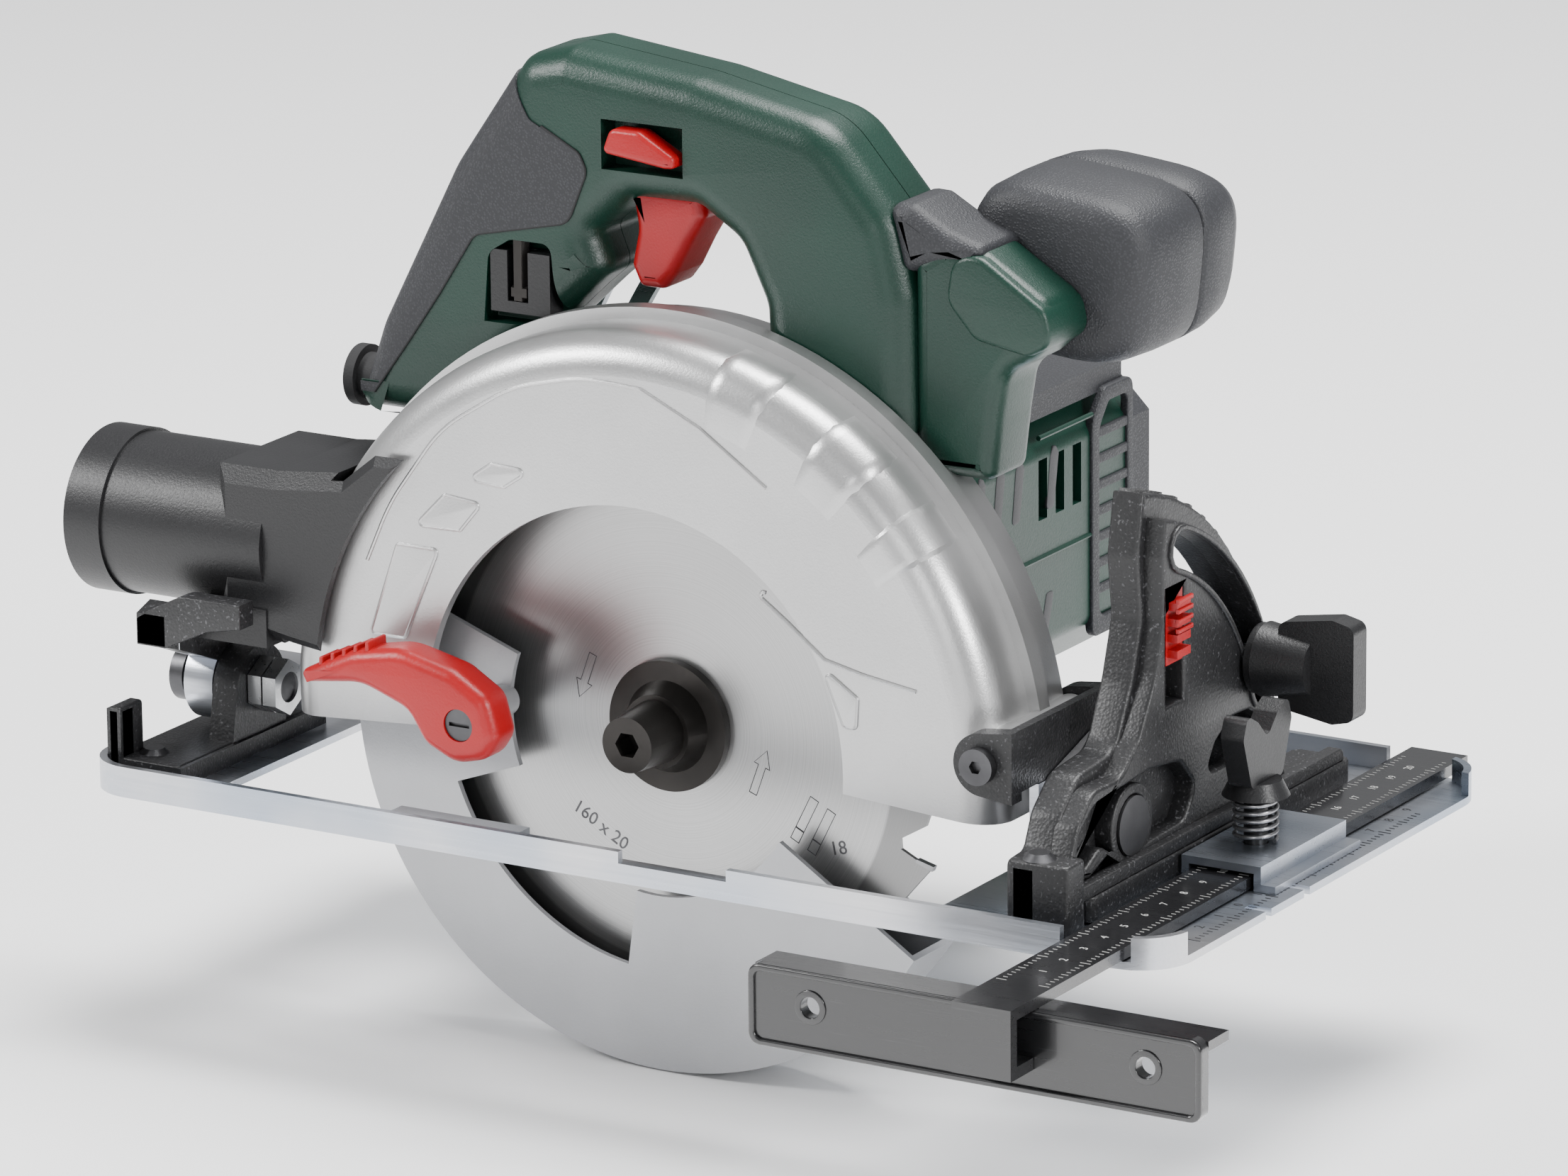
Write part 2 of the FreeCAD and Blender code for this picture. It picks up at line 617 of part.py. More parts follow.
def make_dust_port():
    outer = "port_bore + port_wall"
    centre = ("port_y", "port_z")
    tube = rod("port_tube", "x", ("0 - port_end",) + centre, outer, 60)
    collar = rod("port_collar", "x", ("0 - port_end",) + centre, "port_bore + port_wall + 0.8", 11)
    hood = prism("port_hood", "XZ", [
        (-122, 40), (-100, 36), (-84, 34), (-62, 92), (-74, 92), (-84, 84), (-104, 82), (-122, 82)],
        -24.5, 15.5)
    dress(hood, "Chamfer", 4.0, lies_at("y", -24.5))
    clip = box("port_clip", (-127, -25, 36), (-106, -10, 46))
    body = fuse("port_body", [tube, collar, hood, clip])
    bore = rod("port_bore_cut", "x", ("-1 - port_end",) + centre, "port_bore", 62)
    throat = box("port_throat", (-106, -16, 47), (-90, 9, 77))
    seat = rod("port_seat", "y", (0, -22.2, "axle_height"), "guard_radius + 0.1", 50)
    front = rod("port_front", "y", (0, -30, "axle_height"), 92, 60)
    rim_seat = rod("port_rim_seat", "y", (0, -0.1, "axle_height"), "guard_rim_radius + 0.1", 5.2)
    keep(cut("dust_port", body, [bore, throat, seat, front, rim_seat]))


def make_swing_guard():
    near = "0 - swing_guard_near"
    centre_z = "axle_height"
    full = 167
    first = -33
    outer = sector("swing_outer", (0, near, centre_z), "swing_guard_radius",
                   "swing_guard_near + swing_guard_far", first, full)
    hub = rod("swing_hub", "y", (0, "swing_guard_far - swing_guard_wall", centre_z), 25, 2.3)
    hollow = rod("swing_hollow", "y", (0, "swing_guard_wall - swing_guard_near", centre_z),
                 "swing_guard_radius - swing_guard_wall",
                 "swing_guard_near + swing_guard_far - 2 * swing_guard_wall")
    mouth = rod("swing_mouth", "y", (0, "0 - swing_guard_near - 1", centre_z), 43, 4)
    window = sector("swing_window", (0, "0 - swing_guard_near - 1", centre_z), 63, 4, 262, 62)
    bore = rod("swing_bore", "y", (0, 0, centre_z), "nose_radius + 0.05", 20)
    post = rod("swing_post", "y", (-45, -29, 27), 4.2, 21)
    body = fuse("swing_body", [outer, hub])
    shell = cut("swing_shell", body, [hollow, mouth, window, bore])
    keep(fuse("lower_guard", [shell, post]))
    lever = prism("lever_arm", "XZ", [
        (-27, 27), (-30, 37), (-40, 43), (-56, 46.5), (-70, 44), (-86, 36.5), (-84, 34),
        (-68, 36), (-54, 31), (-49, 23), (-41, 19.5), (-32, 21)], -41, -29.2)
    dress(lever, "Chamfer", 1.0, lies_at("y", -41))
    seat = rod("lever_screw_seat", "y", (-38, -42, 29.5), 4.2, 4)
    keep(cut("guard_lever", lever, [seat]))
    screw = rod("lever_screw_head", "y", (-38, -40.6, 29.5), 4.1, 2.6)
    cross = box("lever_screw_cross", (-41, -41, 29), (-35, -39.6, 30))
    keep(cut("lever_screw", screw, [cross]))


def make_guard_spring():
    """Return spring of the lower guard, drawn as one plain band round the gear-case nose."""
    keep(ring("guard_spring", (0, AXLE_Z), 12.3, 1.2, 20.8, 20.2))


# ---------------------------------------------------------------- blade and drive

def make_blade():
    """Toothed disc: gullets are scooped out of the rim ahead of each carbide tip."""
    teeth = int(SIZE["tooth_count"])
    radius = SIZE["blade_radius"]
    half = SIZE["blade_body_thickness"] / 2
    pitch = 2 * math.pi / teeth
    tooth = [(0.0, radius - 0.6), (0.16, radius - 2.2), (0.62, radius - 5.0), (0.86, radius - 11.0),
             (0.96, radius - 10.0), (0.985, radius - 4.6)]
    corners = []
    for step in range(teeth):
        for share, reach in tooth:
            angle = -(step + share) * pitch
            corners.append(Vector(reach * math.cos(angle), -half, AXLE_Z + reach * math.sin(angle)))
    wire = Part.makePolygon(corners + corners[:1])
    disc = Part.Face(wire).extrude(Vector(0, 2 * half, 0))
    bore = Part.makeCylinder(SIZE["spindle_radius"] + 4, 4, Vector(0, -2, AXLE_Z), Vector(0, 1, 0))
    keep(free_shape("saw_blade", disc.cut(bore)))
    tips = []
    wide = SIZE["tooth_width"] / 2
    for step in range(teeth):
        points = []
        for share, reach in ((0.004, radius), (0.004, radius - 5.0), (-0.03, radius - 5.0), (-0.045, radius)):
            angle = -(step + share) * pitch
            points.append(Vector(reach * math.cos(angle), -wide, AXLE_Z + reach * math.sin(angle)))
        face = Part.Face(Part.makePolygon(points + points[:1]))
        tips.append(face.extrude(Vector(0, 2 * wide, 0)).cut(disc))
    keep(free_shape("blade_teeth", Part.makeCompound(tips)))


def make_spindle():
    z = "axle_height"
    shaft = rod("spindle_shaft", "y", (0, 0.7, z), "spindle_radius", 43)
    pilot = rod("spindle_pilot", "y", (0, -0.6, z), 9.9, 1.3)
    keep(fuse("spindle", [shaft, pilot]))
    inner = rod("inner_flange_body", "y", (0, 0.75, z), 16, 3.2)
    inner_bore = rod("inner_flange_bore", "y", (0, 0, z), "spindle_radius + 0.01", 6)
    outer = rod("outer_flange_disc", "y", (0, -3.4, z), 17, 2.75)
    hub = rod("outer_flange_hub", "y", (0, -8.8, z), 9.5, 5.5, 12)
    outer_bore = rod("outer_flange_bore", "y", (0, -10, z), 4.4, 10)
    keep(group("clamp_flanges", [
        cut("inner_flange", inner, [inner_bore]),
        cut("outer_flange", fuse("outer_flange_body", [outer, hub]), [outer_bore])]))
    head = rod("blade_bolt_head", "y", (0, -22.5, z), 7.2, 13.6, 8.2)
    shank = rod("blade_bolt_shank", "y", (0, -9, z), 4.3, 8.3)
    socket = hexagon("blade_bolt_socket", "y", (0, -22.6, z), 6, 7)
    keep(cut("blade_bolt", fuse("blade_bolt_body", [head, shank]), [socket]))


def involute_gear(teeth, module, backlash, first_angle):
    """Outline of a spur gear with true involute flanks, centred on the origin in XZ."""
    pressure = math.radians(20)
    pitch_radius = module * teeth / 2
    base_radius = pitch_radius * math.cos(pressure)
    tip_radius = pitch_radius + 0.85 * module
    root_radius = pitch_radius - 1.2 * module
    half_tooth = (math.pi * module / 2 - backlash) / 2 / pitch_radius
    at_pitch = math.tan(pressure) - pressure

    def flank_angle(radius):
        roll = math.sqrt(max((radius / base_radius) ** 2 - 1, 0.0))
        return half_tooth + at_pitch - (roll - math.atan(roll))

    start_radius = max(base_radius, root_radius)
    radii = [start_radius + (tip_radius - start_radius) * step / 5 for step in range(6)]
    points = []
    for tooth in range(teeth):
        middle = first_angle + 2 * math.pi * tooth / teeth
        side = [(root_radius, flank_angle(start_radius))] if start_radius > root_radius else []
        side += [(radius, flank_angle(radius)) for radius in radii]
        for sign, run in ((-1, side), (1, side[::-1])):
            for radius, angle in run:
                turned = middle + sign * angle
                points.append((radius * math.cos(turned), radius * math.sin(turned)))
    return points


def gear_solid(points, centre, start, width, bore):
    corners = [Vector(centre[0] + across, start, centre[1] + up) for across, up in points]
    blank = Part.Face(Part.makePolygon(corners + corners[:1])).extrude(Vector(0, width, 0))
    hole = Part.makeCylinder(bore, width + 2, Vector(centre[0], start - 1, centre[1]), Vector(0, 1, 0))
    return blank.cut(hole)


def make_gears():
    module = SIZE["gear_module"]
    teeth = int(SIZE["gear_teeth"])
    pinion = int(SIZE["pinion_teeth"])
    toward = math.atan2(MOTOR_Z - AXLE_Z, SIZE["motor_x"])
    gear = involute_gear(teeth, module, 0.16, toward)
    small = involute_gear(pinion, module, 0.16, toward + math.pi + math.pi / pinion)
    start, width = SIZE["gear_start"], SIZE["gear_width"]
    keep(free_shape("drive_gear", gear_solid(gear, (0, AXLE_Z), start, width, SIZE["spindle_radius"])))
    keep(free_shape("motor_pinion", gear_solid(
        small, (SIZE["motor_x"], MOTOR_Z), start + 0.5, width - 1, SIZE["shaft_radius"])))


def ring(name, centre, start, width, outer, inner):
    body = rod(name + "_body", "y", (centre[0], start, centre[1]), outer, width)
    bore = rod(name + "_bore", "y", (centre[0], number(start) - 1, centre[1]), inner, number(width) + 2)
    return cut(name, body, [bore])


def make_bearings():
    axle = (0, AXLE_Z)
    motor = ("motor_x", MOTOR_Z)
    keep(group("spindle_bearings", [
        ring("spindle_bearing_front", axle, 9, 8, 13, "spindle_radius + 0.04"),
        ring("spindle_bearing_rear", axle, 36.5, 7, 11, "spindle_radius + 0.04")]))
    keep(group("armature_bearings", [
        ring("armature_bearing_front", motor, 36.5, 8, 11, "shaft_radius + 0.04"),
        ring("armature_bearing_rear", motor, 152, 7, 11, "shaft_radius + 0.04")]))


def make_armature():
    motor = ("motor_x", MOTOR_Z)
    shaft = rod("armature_axle", "y", ("motor_x", 24, MOTOR_Z), "shaft_radius", 135)
    core = rod("armature_core", "y", ("motor_x", 68, MOTOR_Z), 20.4, 44)
    ends = rod("armature_windings", "y", ("motor_x", 62, MOTOR_Z), 16, 56)
    keep(fuse("armature", [shaft, core, ends]))
    keep(ring("commutator", motor, 121, 16, 12, "shaft_radius"))
    hub = ring("fan_hub", motor, 50.9, 9, 9, "shaft_radius")
    disc = ring("fan_disc", motor, 50.9, 1.6, 31, "shaft_radius + 3")
    blades = []
    for step in range(11):
        blade = doc.addObject("Part::Box", "fan_blade_%d" % step)
        bind(blade, Length=22, Width=7.6, Height=1.4)
        turn = Rotation(Vector(0, 1, 0), 360.0 * step / 11)
        blade.Placement = Placement(Vector(SIZE["motor_x"], 52.2, MOTOR_Z), turn).multiply(
            Placement(Vector(8.2, 0, -0.7), Rotation()))
        blades.append(blade)
    keep(fuse("cooling_fan", [hub, disc] + blades))


def make_stator():
    motor = ("motor_x", MOTOR_Z)
    core = ring("stator_core", motor, 68, 44, "motor_bore - 0.05", 21.6)
    window = box("stator_window_cut", (-24, 60, MOTOR_Z - 9), (36, 120, MOTOR_Z + 9))
    iron = cut("stator_iron", core, [window])
    keep(iron)
    iron.Label = "field_stator"
    holders = []
    for side in (-1, 1):
        inner = SIZE["motor_x"] + side * 13
        outer = SIZE["motor_x"] + side * 32
        low, high = min(inner, outer), max(inner, outer)
        holders.append(box("brush_holder_%d" % (side + 1), (low, 124, MOTOR_Z - 5), (high, 134, MOTOR_Z + 5)))
    keep(group("brush_holders", holders))


# ---------------------------------------------------------------- housings

def make_gear_case():
    z = "axle_height"
    nose = rod("case_nose", "y", (0, 7.6, z), "nose_radius", 10)
    lower = rod("case_lower", "y", (0, 17.2, z), "case_radius", 30)
    upper = rod("case_upper", "y", ("motor_x", 17.2, MOTOR_Z), 30, 32.8)
    saddle = box("case_saddle", (-26, 17.2, 66), (46, 50, 91.8))
    arm = box("case_depth_arm", (-72, 40, 30), (-18, 45.4, 46))
    body = fuse("case_body", [nose, lower, upper, saddle, arm])
    bolt = on_circle((0, 0), SIZE["depth_arc_radius"], 180.5)
    keep(cut("gear_case", body, [
        rod("case_front_seat", "y", (0, 7, z), 13.01, 11),
        rod("case_gear_room", "y", (0, 17.9, z), 23, 17.6),
        rod("case_pinion_room", "y", ("motor_x", 22, MOTOR_Z), 8, 12.5),
        rod("case_rear_seat", "y", (0, 34, z), 11.01, 11),
        rod("case_armature_seat", "y", ("motor_x", 34, MOTOR_Z), 11.01, 17),
        rod("case_lock_bore", "x", (31, 34, 78), 5.2, 20),
        rod("case_clamp_bore", "y", (HINGE[0] + bolt[0], 30, HINGE[1] - bolt[1]), 3.01, 20),
        rod("case_screw_a", "y", (-20, 10, 65), 1.9, 18),
        rod("case_screw_b", "y", (32, 10, 55), 1.9, 18)]))


def chamfered(half_width, half_height, centre_x, centre_z, corner):
    """Corners of an octagon that is a rectangle with cut corners."""
    left, right = centre_x - half_width, centre_x + half_width
    low, high = centre_z - half_height, centre_z + half_height
    return [
        (left + corner, low), (right - corner, low), (right, low + corner), (right, high - corner),
        (right - corner, high), (left + corner, high), (left, high - corner), (left, low + corner)]


def make_motor_housing():
    width, height = SIZE["motor_half_width"], SIZE["motor_half_height"]
    start, end = SIZE["motor_start"], SIZE["motor_end"]
    barrel = prism("motor_barrel", "XZ", chamfered(width, height, SIZE["motor_x"], 52.3, 13), start, end)
    dress(barrel, "Fillet", 5.0, runs_along("y"))
    room = rod("motor_room", "y", ("motor_x", start - 1, MOTOR_Z), "motor_bore", end - start + 2)
    vents = [box("motor_vent_%d" % step, (40, 100 + 9 * step, 60), (52, 104.5 + 9 * step, 76))
             for step in range(3)]
    top_seat = box("motor_pad_seat", (24, 62, 86.4), (52, 146, 95))
    keep(cut("motor_housing", barrel, [room, top_seat] + vents))
    cap = prism("cap_blank", "XZ", chamfered(width - 1, height - 1, SIZE["motor_x"], 52.3, 14),
                SIZE["motor_end"] + 0.2, SIZE["motor_cap_end"])
    dress(cap, "Chamfer", 4.0, lies_at("y", SIZE["motor_cap_end"]))
    seat = rod("cap_seat", "y", ("motor_x", 148, MOTOR_Z), 11.01, 11.5)
    slots = []
    for step in range(5):
        low = MOTOR_Z - 26 + 12 * step
        for side, (left, right) in enumerate(((-30, -9), (21, 42))):
            slots.append(box("cap_slot_%d_%d" % (side, step), (left, 148, low), (right, 170, low + 5)))
    keep(cut("motor_end_cover", cap, [seat] + slots))
    pad = box("motor_top_pad", (24.2, 62.2, 86.6), (48, 145.8, 93.4))
    keep(pad)
    screws = []
    for place_in_list, (x, z) in enumerate(((-20, 65), (32, 55))):
        shank = rod("case_screw_shank_%d" % place_in_list, "y", (x, 13.8, z), 1.85, 12)
        head = rod("case_screw_head_%d" % place_in_list, "y", (x, 12.2, z), 3.4, 1.8)
        screws.append(fuse("case_screw_%d" % place_in_list, [shank, head]))
    keep(group("housing_screws", screws))


HANDLE = [
    (-99, 92), (-93, 112), (-80, 140), (-62, 168), (-54, 181), (-47, 190), (-34, 193.5), (4, 189),
    (40, 182), (52, 175), (62, 160), (66, 140), (66, 92)]
FINGER_HOLE = [(-38, 124), (12, 124), (14, 130), (6, 148), (-2, 154), (-14, 156), (-26, 148)]


def make_handle():
    near, middle, far = SIZE["handle_near"], SIZE["handle_middle"], SIZE["handle_far"]
    for side, start, end, face in (("right", near, middle - 0.1, near), ("left", middle + 0.1, far, far)):
        shell = prism("handle_blank_" + side, "XZ", HANDLE[::-1], start, end)
        dress(shell, "Chamfer", 5.0, lies_at("y", face))
        hole = prism("finger_hole_" + side, "XZ", FINGER_HOLE[::-1], start - 1, end + 1)
        tools = [
            hole,
            box("handle_room_%s_a" % side, (-40, 9.5, 157.5), (2, 32, 176)),
            box("handle_trigger_gap_" + side, (-31, 11, 138), (5, 30, 160)),
            box("handle_room_%s_b" % side, (-76, 12, 100), (-48, 29, 136)),
        ]
        if side == "right":
            tools.append(rod("handle_guard_gap", "y", (0, 0, "axle_height"), "guard_rim_radius + 0.5", 17.2))
            tools.append(box("handle_lock_gap", (-21.6, 0, 166.5), (0.6, 12, 176.2)))
            tools.append(box("handle_key_gap", (-56.2, 0, 123.8), (-38.2, 12, 145.4)))
        tools.append(rod("handle_inlet_gap_" + side, "x", (-110, 20.5, 98), 6.05, 40))
        if side == "right":
            keep(cut("handle_shell_right", shell, tools))
        else:
            hollow = cut("handle_hollow_left", shell, tools)
            pin = rod("trigger_pin", "y", (-2, 11.2, 157), 1.5, 20)
            keep(fuse("handle_shell_left", [hollow, pin]))


def make_grips():
    """Soft skins that wrap the rear of the handle and fill the neck."""
    outline = [(-96.6, 107.4), (-95.2, 112.6), (-82, 141.2), (-64, 169.4), (-58.6, 178),
               (-57.2, 176.6), (-62.2, 168.1), (-80.2, 140.1), (-93.2, 112.1), (-94.6, 107.4)]
    skin = prism("rear_grip_pad", "XZ", outline[::-1], SIZE["handle_near"] + 2, SIZE["handle_far"] - 2)
    keep(skin)
    neck = prism("neck_blank", "XZ", [
        (66.2, 106), (84, 109), (88, 124), (100, 128), (104, 140), (98, 152), (84, 156), (66.2, 156)],
        10, SIZE["knob_near"] - 0.3)
    dress(neck, "Chamfer", 3.0, lies_at("y", 10))
    tongue = box("neck_tongue", (78, 20, 138), (98, 40, 150))
    seat = box("neck_pad_seat", (60, 12, 152.5), (82, 26, 160))
    keep(cut("front_handle_neck", fuse("neck_body", [neck, tongue]), [seat]))
    keep(box("neck_pad", (66.3, 12.2, 152.7), (81.8, 25.8, 158.5)))


def make_front_handle():
    x, z = SIZE["knob_x"], SIZE["knob_z"]
    profile = rounded_rectangle(x - 26, z - 22, x + 27, z + 22, 15)
    inner = prism("knob_inner_blank", "XZ", profile, "knob_near", "knob_seam - 0.1")
    dress(inner, "Chamfer", 5.0, lies_at("y", SIZE["knob_near"]))
    socket = box("knob_socket", (77.8, 27, 137.8), (98.2, 40.2, 150.2))
    keep(cut("front_handle_inner", inner, [socket]))
    outer = prism("front_handle_outer", "XZ", profile, "knob_seam + 0.1", "knob_far")
    dress(outer, "Chamfer", 8.0, lies_at("y", SIZE["knob_far"]))
    keep(outer)


def make_controls():
    trigger = prism("trigger_blank", "XZ", [
        (-19, 160), (1, 160), (3, 154), (-2, 146), (-6, 138), (-9, 133), (-17, 133), (-19, 138),
        (-17, 148)], 12, 29)
    bore = rod("trigger_bore", "y", (-2, 5, 157), 1.55, 30)
    keep(cut("trigger", trigger, [bore]))
    body = box("switch_body", (-38, 13, 163), (0, 28, 175.6))
    leg = box("switch_leg", (-38, 13, 157.7), (-30, 28, 163.2))
    keep(fuse("switch_block", [body, leg]))
    button = prism("lock_button_blank", "XZ", [
        (-21, 169), (-19, 175.4), (-10, 175.4), (0, 169.6), (0, 167), (-3, 166.8)], 2.6, 9.3)
    dress(button, "Chamfer", 1.0, lies_at("y", 2.6))
    keep(button)
    button.Label = "lock_off_button"
    clamp_x, clamp_up = on_circle((0, 0), SIZE["depth_arc_radius"], 180.5)
    x, z = HINGE[0] + clamp_x, HINGE[1] - clamp_up
    bolt = rod("depth_bolt_shank", "y", (x, 38, z), 3, 20)
    head = hexagon("depth_bolt_head", "y", (x, 36.2, z), 8, 3)
    keep(fuse("depth_clamp_bolt", [bolt, head]))
    hub = rod("depth_lever_hub", "y", (x, 48.7, z), 8, 8)
    arm = prism("depth_lever_arm", "XZ", [
        (x - 6, z - 6), (x + 6, z + 5), (x - 4, z + 40), (x - 12, z + 62), (x - 20, z + 60),
        (x - 15, z + 38)], 50.5, 56.2)
    dress(arm, "Chamfer", 1.2, lies_at("y", 56.2))
    bolt_bore = rod("depth_lever_bore", "y", (x, 40, z), 3.05, 30)
    keep(cut("depth_clamp_lever", fuse("depth_lever_body", [hub, arm]), [bolt_bore]))
    stem = rod("spindle_lock_stem", "x", (36, 34, 78), 5, 13)
    cap = rod("spindle_lock_cap", "x", (49, 34, 78), 5, 1.6, 3.8)
    keep(fuse("spindle_lock_button", [stem, cap]))


def make_key_and_inlet():
    frame = box("key_frame", (-56, 5.7, 124), (-38.4, 11.8, 140))
    groove = box("key_groove", (-51, 5, 127), (-44.9, 10.3, 142))
    keep(cut("key_holder", frame, [groove]))
    long_leg = hexagon("key_long_leg", "z", (-48, 7.8, 127.2), 4, 18)
    short_leg = hexagon("key_short_leg", "x", (-50, 7.8, 129.4), 4, 4.6)
    keep(fuse("hex_key", [long_leg, short_leg]))
    sleeve = rod("inlet_sleeve", "x", (-104, 20.5, 98), 6, 24)
    flange = rod("inlet_flange", "x", (-106, 20.5, 98), 8, 3)
    bore = rod("inlet_bore", "x", (-110, 20.5, 98), 3.6, 40)
    keep(cut("cable_inlet", fuse("inlet_body", [sleeve, flange]), [bore]))


for make in (
        make_base_plate, make_front_bevel_bracket, make_rear_bevel_bracket, make_bracket_rivets,
        make_pivot_bolts, make_lock_nuts, make_lip_insert, make_guide_clamp_saddle, make_guide_clamp,
        make_stop_slider, make_parallel_guide, make_tilt_frame, make_hinge_bracket,
        make_depth_quadrant, make_bevel_clamp, make_upper_guard, make_dust_port, make_swing_guard,
        make_guard_spring, make_blade, make_spindle, make_gears, make_bearings, make_armature,
        make_stator, make_gear_case, make_motor_housing, make_handle, make_grips,
        make_front_handle, make_controls, make_key_and_inlet):
    make()

doc.recompute()
faults = [item.Label for item in doc.Objects if "Invalid" in item.State or "Error" in item.State]
for node in NODES:
    if node.Shape.isNull() or not node.Shape.isValid() or not node.Shape.Solids:
        faults.append(node.Label)
if faults:
    raise RuntimeError("objects that failed: " + ", ".join(faults))

os.makedirs("parts", exist_ok=True)
for node in NODES:
    node.Shape.exportStep(os.path.join("parts", node.Label + ".step"))
    print("%-24s solids %d volume %9.0f" % (node.Label, len(node.Shape.Solids), node.Shape.Volume))
print(len(NODES), "nodes")
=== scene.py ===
"""A hand-held circular saw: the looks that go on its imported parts."""

import json
import math

import bmesh
import bpy
from bpy.props import FloatProperty, FloatVectorProperty, PointerProperty
from mathutils import Matrix, Vector


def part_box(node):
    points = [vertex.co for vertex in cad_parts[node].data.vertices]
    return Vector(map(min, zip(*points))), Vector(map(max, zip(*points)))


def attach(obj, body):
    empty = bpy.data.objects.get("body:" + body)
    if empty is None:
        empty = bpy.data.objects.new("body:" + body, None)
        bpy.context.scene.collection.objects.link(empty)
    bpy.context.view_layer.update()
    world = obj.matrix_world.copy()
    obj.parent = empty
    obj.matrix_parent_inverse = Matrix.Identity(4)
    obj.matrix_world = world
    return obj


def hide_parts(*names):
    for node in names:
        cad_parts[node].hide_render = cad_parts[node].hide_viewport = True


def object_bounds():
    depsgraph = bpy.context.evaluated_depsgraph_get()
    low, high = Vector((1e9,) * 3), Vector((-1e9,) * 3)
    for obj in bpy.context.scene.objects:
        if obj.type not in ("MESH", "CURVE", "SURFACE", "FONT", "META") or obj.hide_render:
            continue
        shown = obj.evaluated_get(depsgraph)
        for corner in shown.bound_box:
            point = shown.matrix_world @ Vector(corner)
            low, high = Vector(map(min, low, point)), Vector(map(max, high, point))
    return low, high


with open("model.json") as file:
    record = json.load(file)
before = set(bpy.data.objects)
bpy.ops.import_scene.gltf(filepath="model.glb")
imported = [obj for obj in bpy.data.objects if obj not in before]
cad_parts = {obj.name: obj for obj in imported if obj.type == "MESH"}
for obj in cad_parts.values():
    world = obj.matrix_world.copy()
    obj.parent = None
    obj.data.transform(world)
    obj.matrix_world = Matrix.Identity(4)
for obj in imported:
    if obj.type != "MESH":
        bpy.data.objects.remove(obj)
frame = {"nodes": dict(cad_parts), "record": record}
CAD_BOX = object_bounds()

bl_info = {
    "name": "Circular saw",
    "version": (1, 0, 0),
    "blender": (4, 5, 0),
    "location": "View3D > Sidebar > Saw",
    "description": "Builds the moulded, cast and printed detail of a hand-held circular saw",
    "category": "Object",
}

MM = 0.001
AXLE = Vector((0.0, 0.0, 0.025))


# ---------------------------------------------------------------- shader sums


class Reading:
    """One shader socket, so that sums on it can be written as ordinary expressions."""

    def __init__(self, shader, socket):
        self.shader = shader
        self.socket = socket

    def sum(self, operation, *values):
        return self.shader.node("ShaderNodeMath", {"operation": operation}, dict(enumerate(values)))

    def __add__(self, other):
        return self.sum("ADD", self, other)

    def __radd__(self, other):
        return self.sum("ADD", other, self)

    def __sub__(self, other):
        return self.sum("SUBTRACT", self, other)

    def __rsub__(self, other):
        return self.sum("SUBTRACT", other, self)

    def __mul__(self, other):
        return self.sum("MULTIPLY", self, other)

    def __rmul__(self, other):
        return self.sum("MULTIPLY", other, self)

    def __pow__(self, other):
        return self.sum("POWER", self, other)


class Shader:
    """A material under construction."""

    def __init__(self, name, **constants):
        self.material = bpy.data.materials.new(name)
        self.material.use_nodes = True
        self.tree = self.material.node_tree
        self.surface = self.tree.nodes["Principled BSDF"]
        for socket, value in constants.items():
            self.surface.inputs[socket.replace("_", " ")].default_value = value

    def node(self, kind, settings=None, inputs=None, output=0):
        """Adds a node: its settings first, then the values or links of its sockets."""
        made = self.tree.nodes.new(kind)
        for name, value in (settings or {}).items():
            setattr(made, name, value)
        for name, value in (inputs or {}).items():
            if isinstance(value, Reading):
                self.tree.links.new(value.socket, made.inputs[name])
            else:
                made.inputs[name].default_value = value
        return Reading(self, made.outputs[output])

    def place(self, scale=(1, 1, 1), shift=(0, 0, 0)):
        """Object coordinates, stretched and shifted."""
        spot = self.node("ShaderNodeTexCoord", output="Object")
        values = {"Vector": spot, "Location": shift, "Scale": scale}
        return self.node("ShaderNodeMapping", {"vector_type": "POINT"}, values)

    def axis(self, spot, letter):
        return self.node("ShaderNodeSeparateXYZ", inputs={"Vector": spot}, output=letter)

    def noise(self, spot, scale, detail=2.0, roughness=0.5):
        values = {"Vector": spot, "Scale": scale, "Detail": detail, "Roughness": roughness}
        return self.node("ShaderNodeTexNoise", {"noise_dimensions": "3D"}, values, "Fac")

    def cells(self, spot, scale):
        values = {"Vector": spot, "Scale": scale}
        return self.node("ShaderNodeTexVoronoi", {"feature": "F1"}, values, "Distance")

    def between(self, value, low, high):
        """0 below low, 1 above high, smooth in between."""
        settings = {"interpolation_type": "SMOOTHSTEP"}
        values = {"Value": value, "From Min": low, "From Max": high}
        return self.node("ShaderNodeMapRange", settings, values, "Result")

    def blend(self, amount, first, second):
        """A colour that goes from first to second."""
        made = self.tree.nodes.new("ShaderNodeMix")
        made.data_type = "RGBA"
        for index, value in ((0, amount), (6, first), (7, second)):
            if isinstance(value, Reading):
                self.tree.links.new(value.socket, made.inputs[index])
            else:
                made.inputs[index].default_value = value
        return Reading(self, made.outputs[2])

    def colour(self, value):
        self.tree.links.new(value.socket, self.surface.inputs["Base Color"])

    def roughness(self, value):
        self.tree.links.new(value.socket, self.surface.inputs["Roughness"])

    def relief(self, height, depth):
        """Bumps of the given depth in metres."""
        inputs = {"Strength": 1.0, "Distance": depth, "Height": height}
        bump = self.node("ShaderNodeBump", inputs=inputs, output="Normal")
        self.tree.links.new(bump.socket, self.surface.inputs["Normal"])


def tint(colour, factor=1.0):
    return (colour[0] * factor, colour[1] * factor, colour[2] * factor, 1.0)


# ---------------------------------------------------------------- finishes


